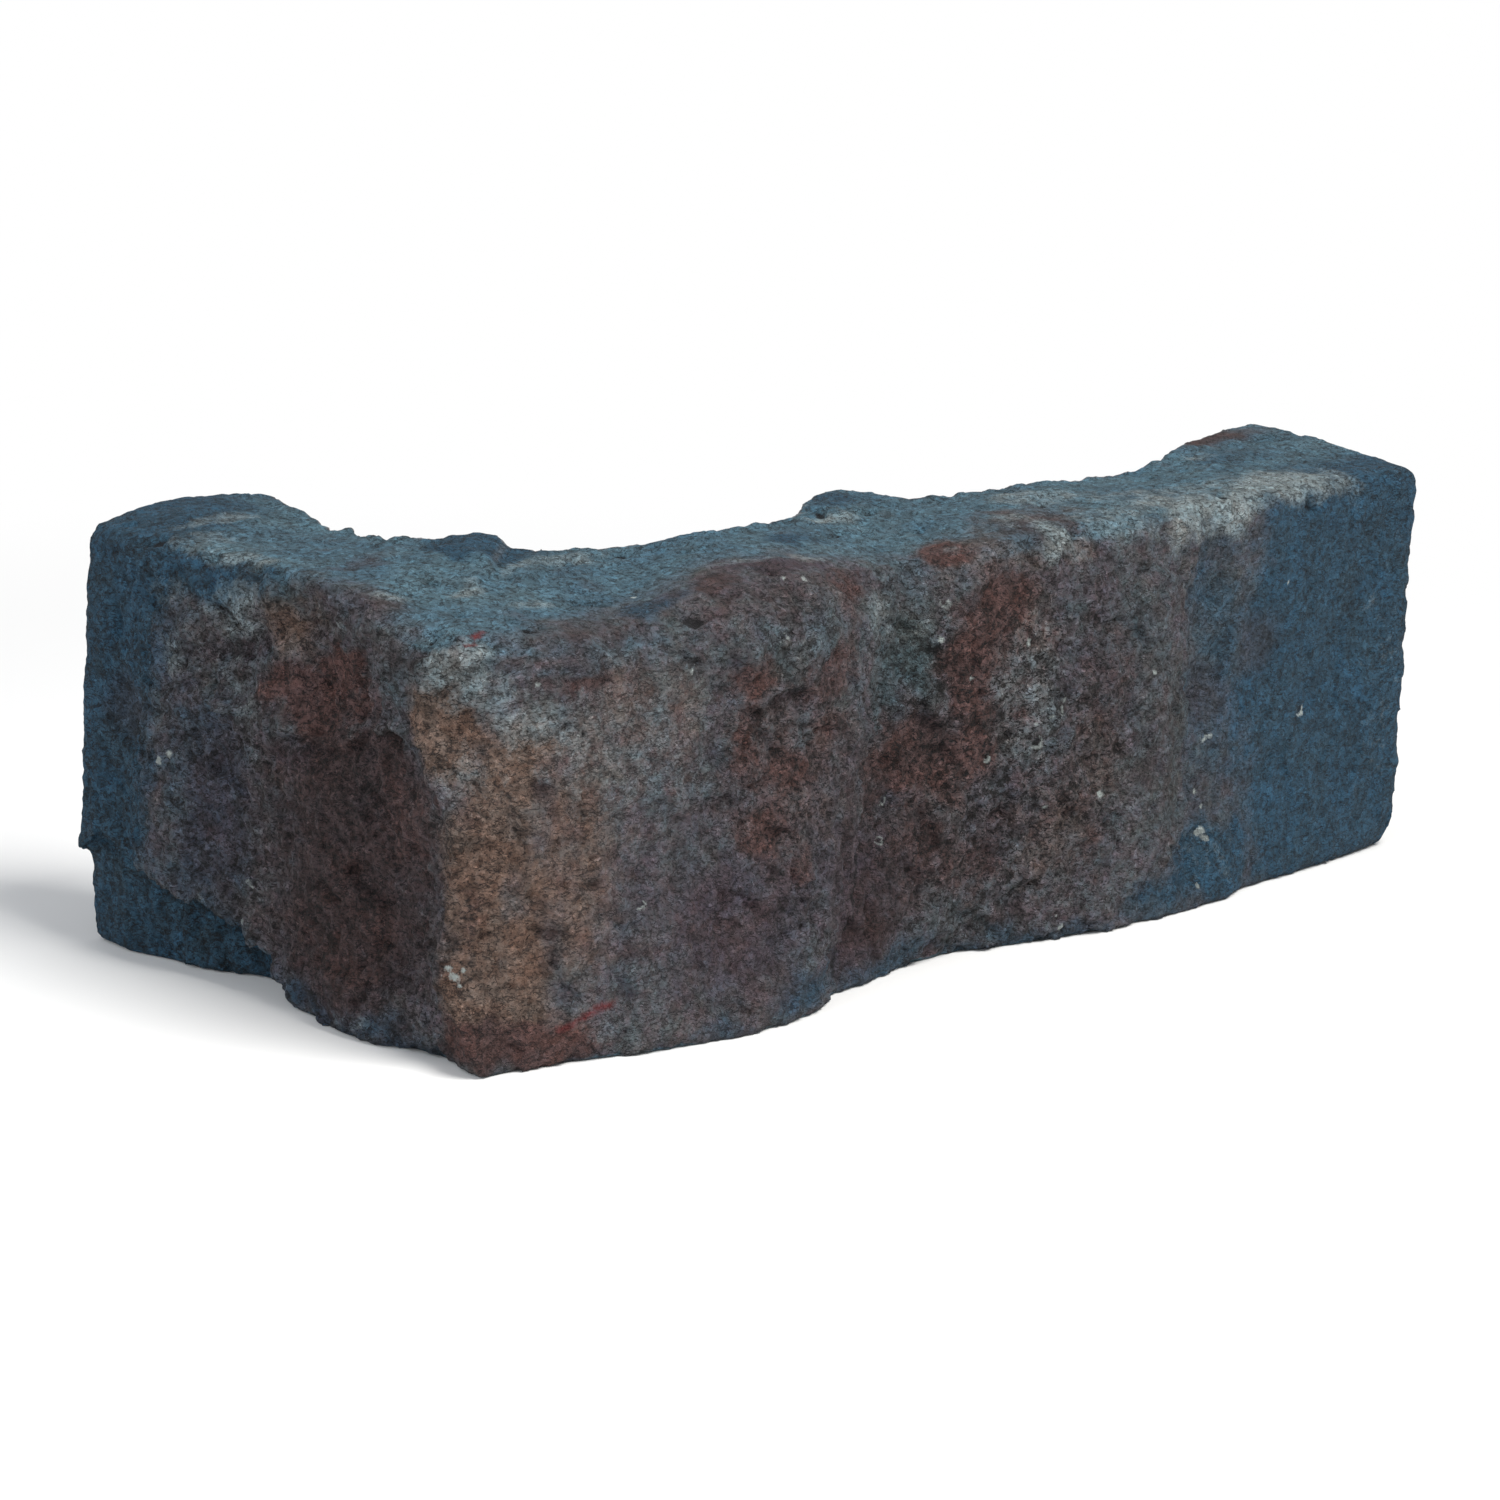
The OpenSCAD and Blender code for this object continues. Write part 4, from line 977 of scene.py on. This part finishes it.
class STONE_OT_stage(bpy.types.Operator):
    """Sets up the floor, the lamps, the world and the camera"""

    bl_idname = "stone.stage"
    bl_label = "Stage"

    def execute(self, context):
        scene = context.scene
        self.floor()
        self.world(scene)
        for lamp in LAMPS:
            area_lamp(*lamp)
        self.camera(scene)
        scene.view_settings.view_transform = "Standard"
        return {"FINISHED"}

    def floor(self):
        mesh = bpy.data.meshes.new("floor")
        half = FLOOR_HALF
        corners = [(-half, -half, 0), (half, -half, 0), (half, half, 0), (-half, half, 0)]
        mesh.from_pydata(corners, [], [(0, 1, 2, 3)])
        floor = bpy.data.objects.new("floor", mesh)
        floor.location.z = -FLOOR_DROP
        bpy.context.scene.collection.objects.link(floor)
        mesh.materials.append(matt_backdrop_paper())

    def world(self, scene):
        world = bpy.data.worlds.new("studio")
        scene.world = world
        world.use_nodes = True
        tree = world.node_tree
        tree.nodes.clear()
        lit = add(tree, "ShaderNodeBackground", Color=rgba(linear("#f9fbff")), Strength=0.45)
        shown = add(tree, "ShaderNodeBackground", Color=rgba(linear("#ffffff")), Strength=1.0)
        both = add(tree, "ShaderNodeMixShader", i0=viewer_rays(tree), i1=lit, i2=shown)
        add(tree, "ShaderNodeOutputWorld", Surface=both)

    def camera(self, scene):
        stage = scene.stage_settings
        right, up, back = facing(stage.azimuth, stage.elevation, stage.roll)
        data = bpy.data.cameras.new("camera")
        data.lens = stage.lens
        data.sensor_width = SENSOR_MM
        camera = bpy.data.objects.new("camera", data)
        place = ARRIS_FOOT * MM + back * stage.distance + right * AIM_RIGHT + up * AIM_UP
        camera.matrix_world = Matrix.Translation(place) @ Matrix((right, up, back)).transposed().to_4x4()
        bpy.context.scene.collection.objects.link(camera)
        scene.camera = camera


class STONE_PT_panel(bpy.types.Panel):
    """Lists the steps that build the stone"""

    bl_label = "Stone veneer corner"
    bl_idname = "STONE_PT_panel"
    bl_space_type = "VIEW_3D"
    bl_region_type = "UI"
    bl_category = "Veneer"

    def draw(self, context):
        for group in (context.scene.stone, context.scene.pigments, context.scene.stage_settings):
            for name in group.__annotations__:
                self.layout.prop(group, name)
        self.layout.operator(STONE_OT_rock_face.bl_idname)
        self.layout.operator(STONE_OT_stage.bl_idname)


CLASSES = (StoneSettings, PigmentSettings, StageSettings, STONE_OT_rock_face, STONE_OT_stage, STONE_PT_panel)


def register():
    for cls in CLASSES:
        bpy.utils.register_class(cls)
    bpy.types.Scene.stone = PointerProperty(type=StoneSettings)
    bpy.types.Scene.pigments = PointerProperty(type=PigmentSettings)
    bpy.types.Scene.stage_settings = PointerProperty(type=StageSettings)


def unregister():
    for name in ("stage_settings", "pigments", "stone"):
        delattr(bpy.types.Scene, name)
    for cls in reversed(CLASSES):
        bpy.utils.unregister_class(cls)


def main():
    register()
    bpy.ops.stone.rock_face()
    bpy.ops.stone.stage()


if __name__ == "__main__":
    main()
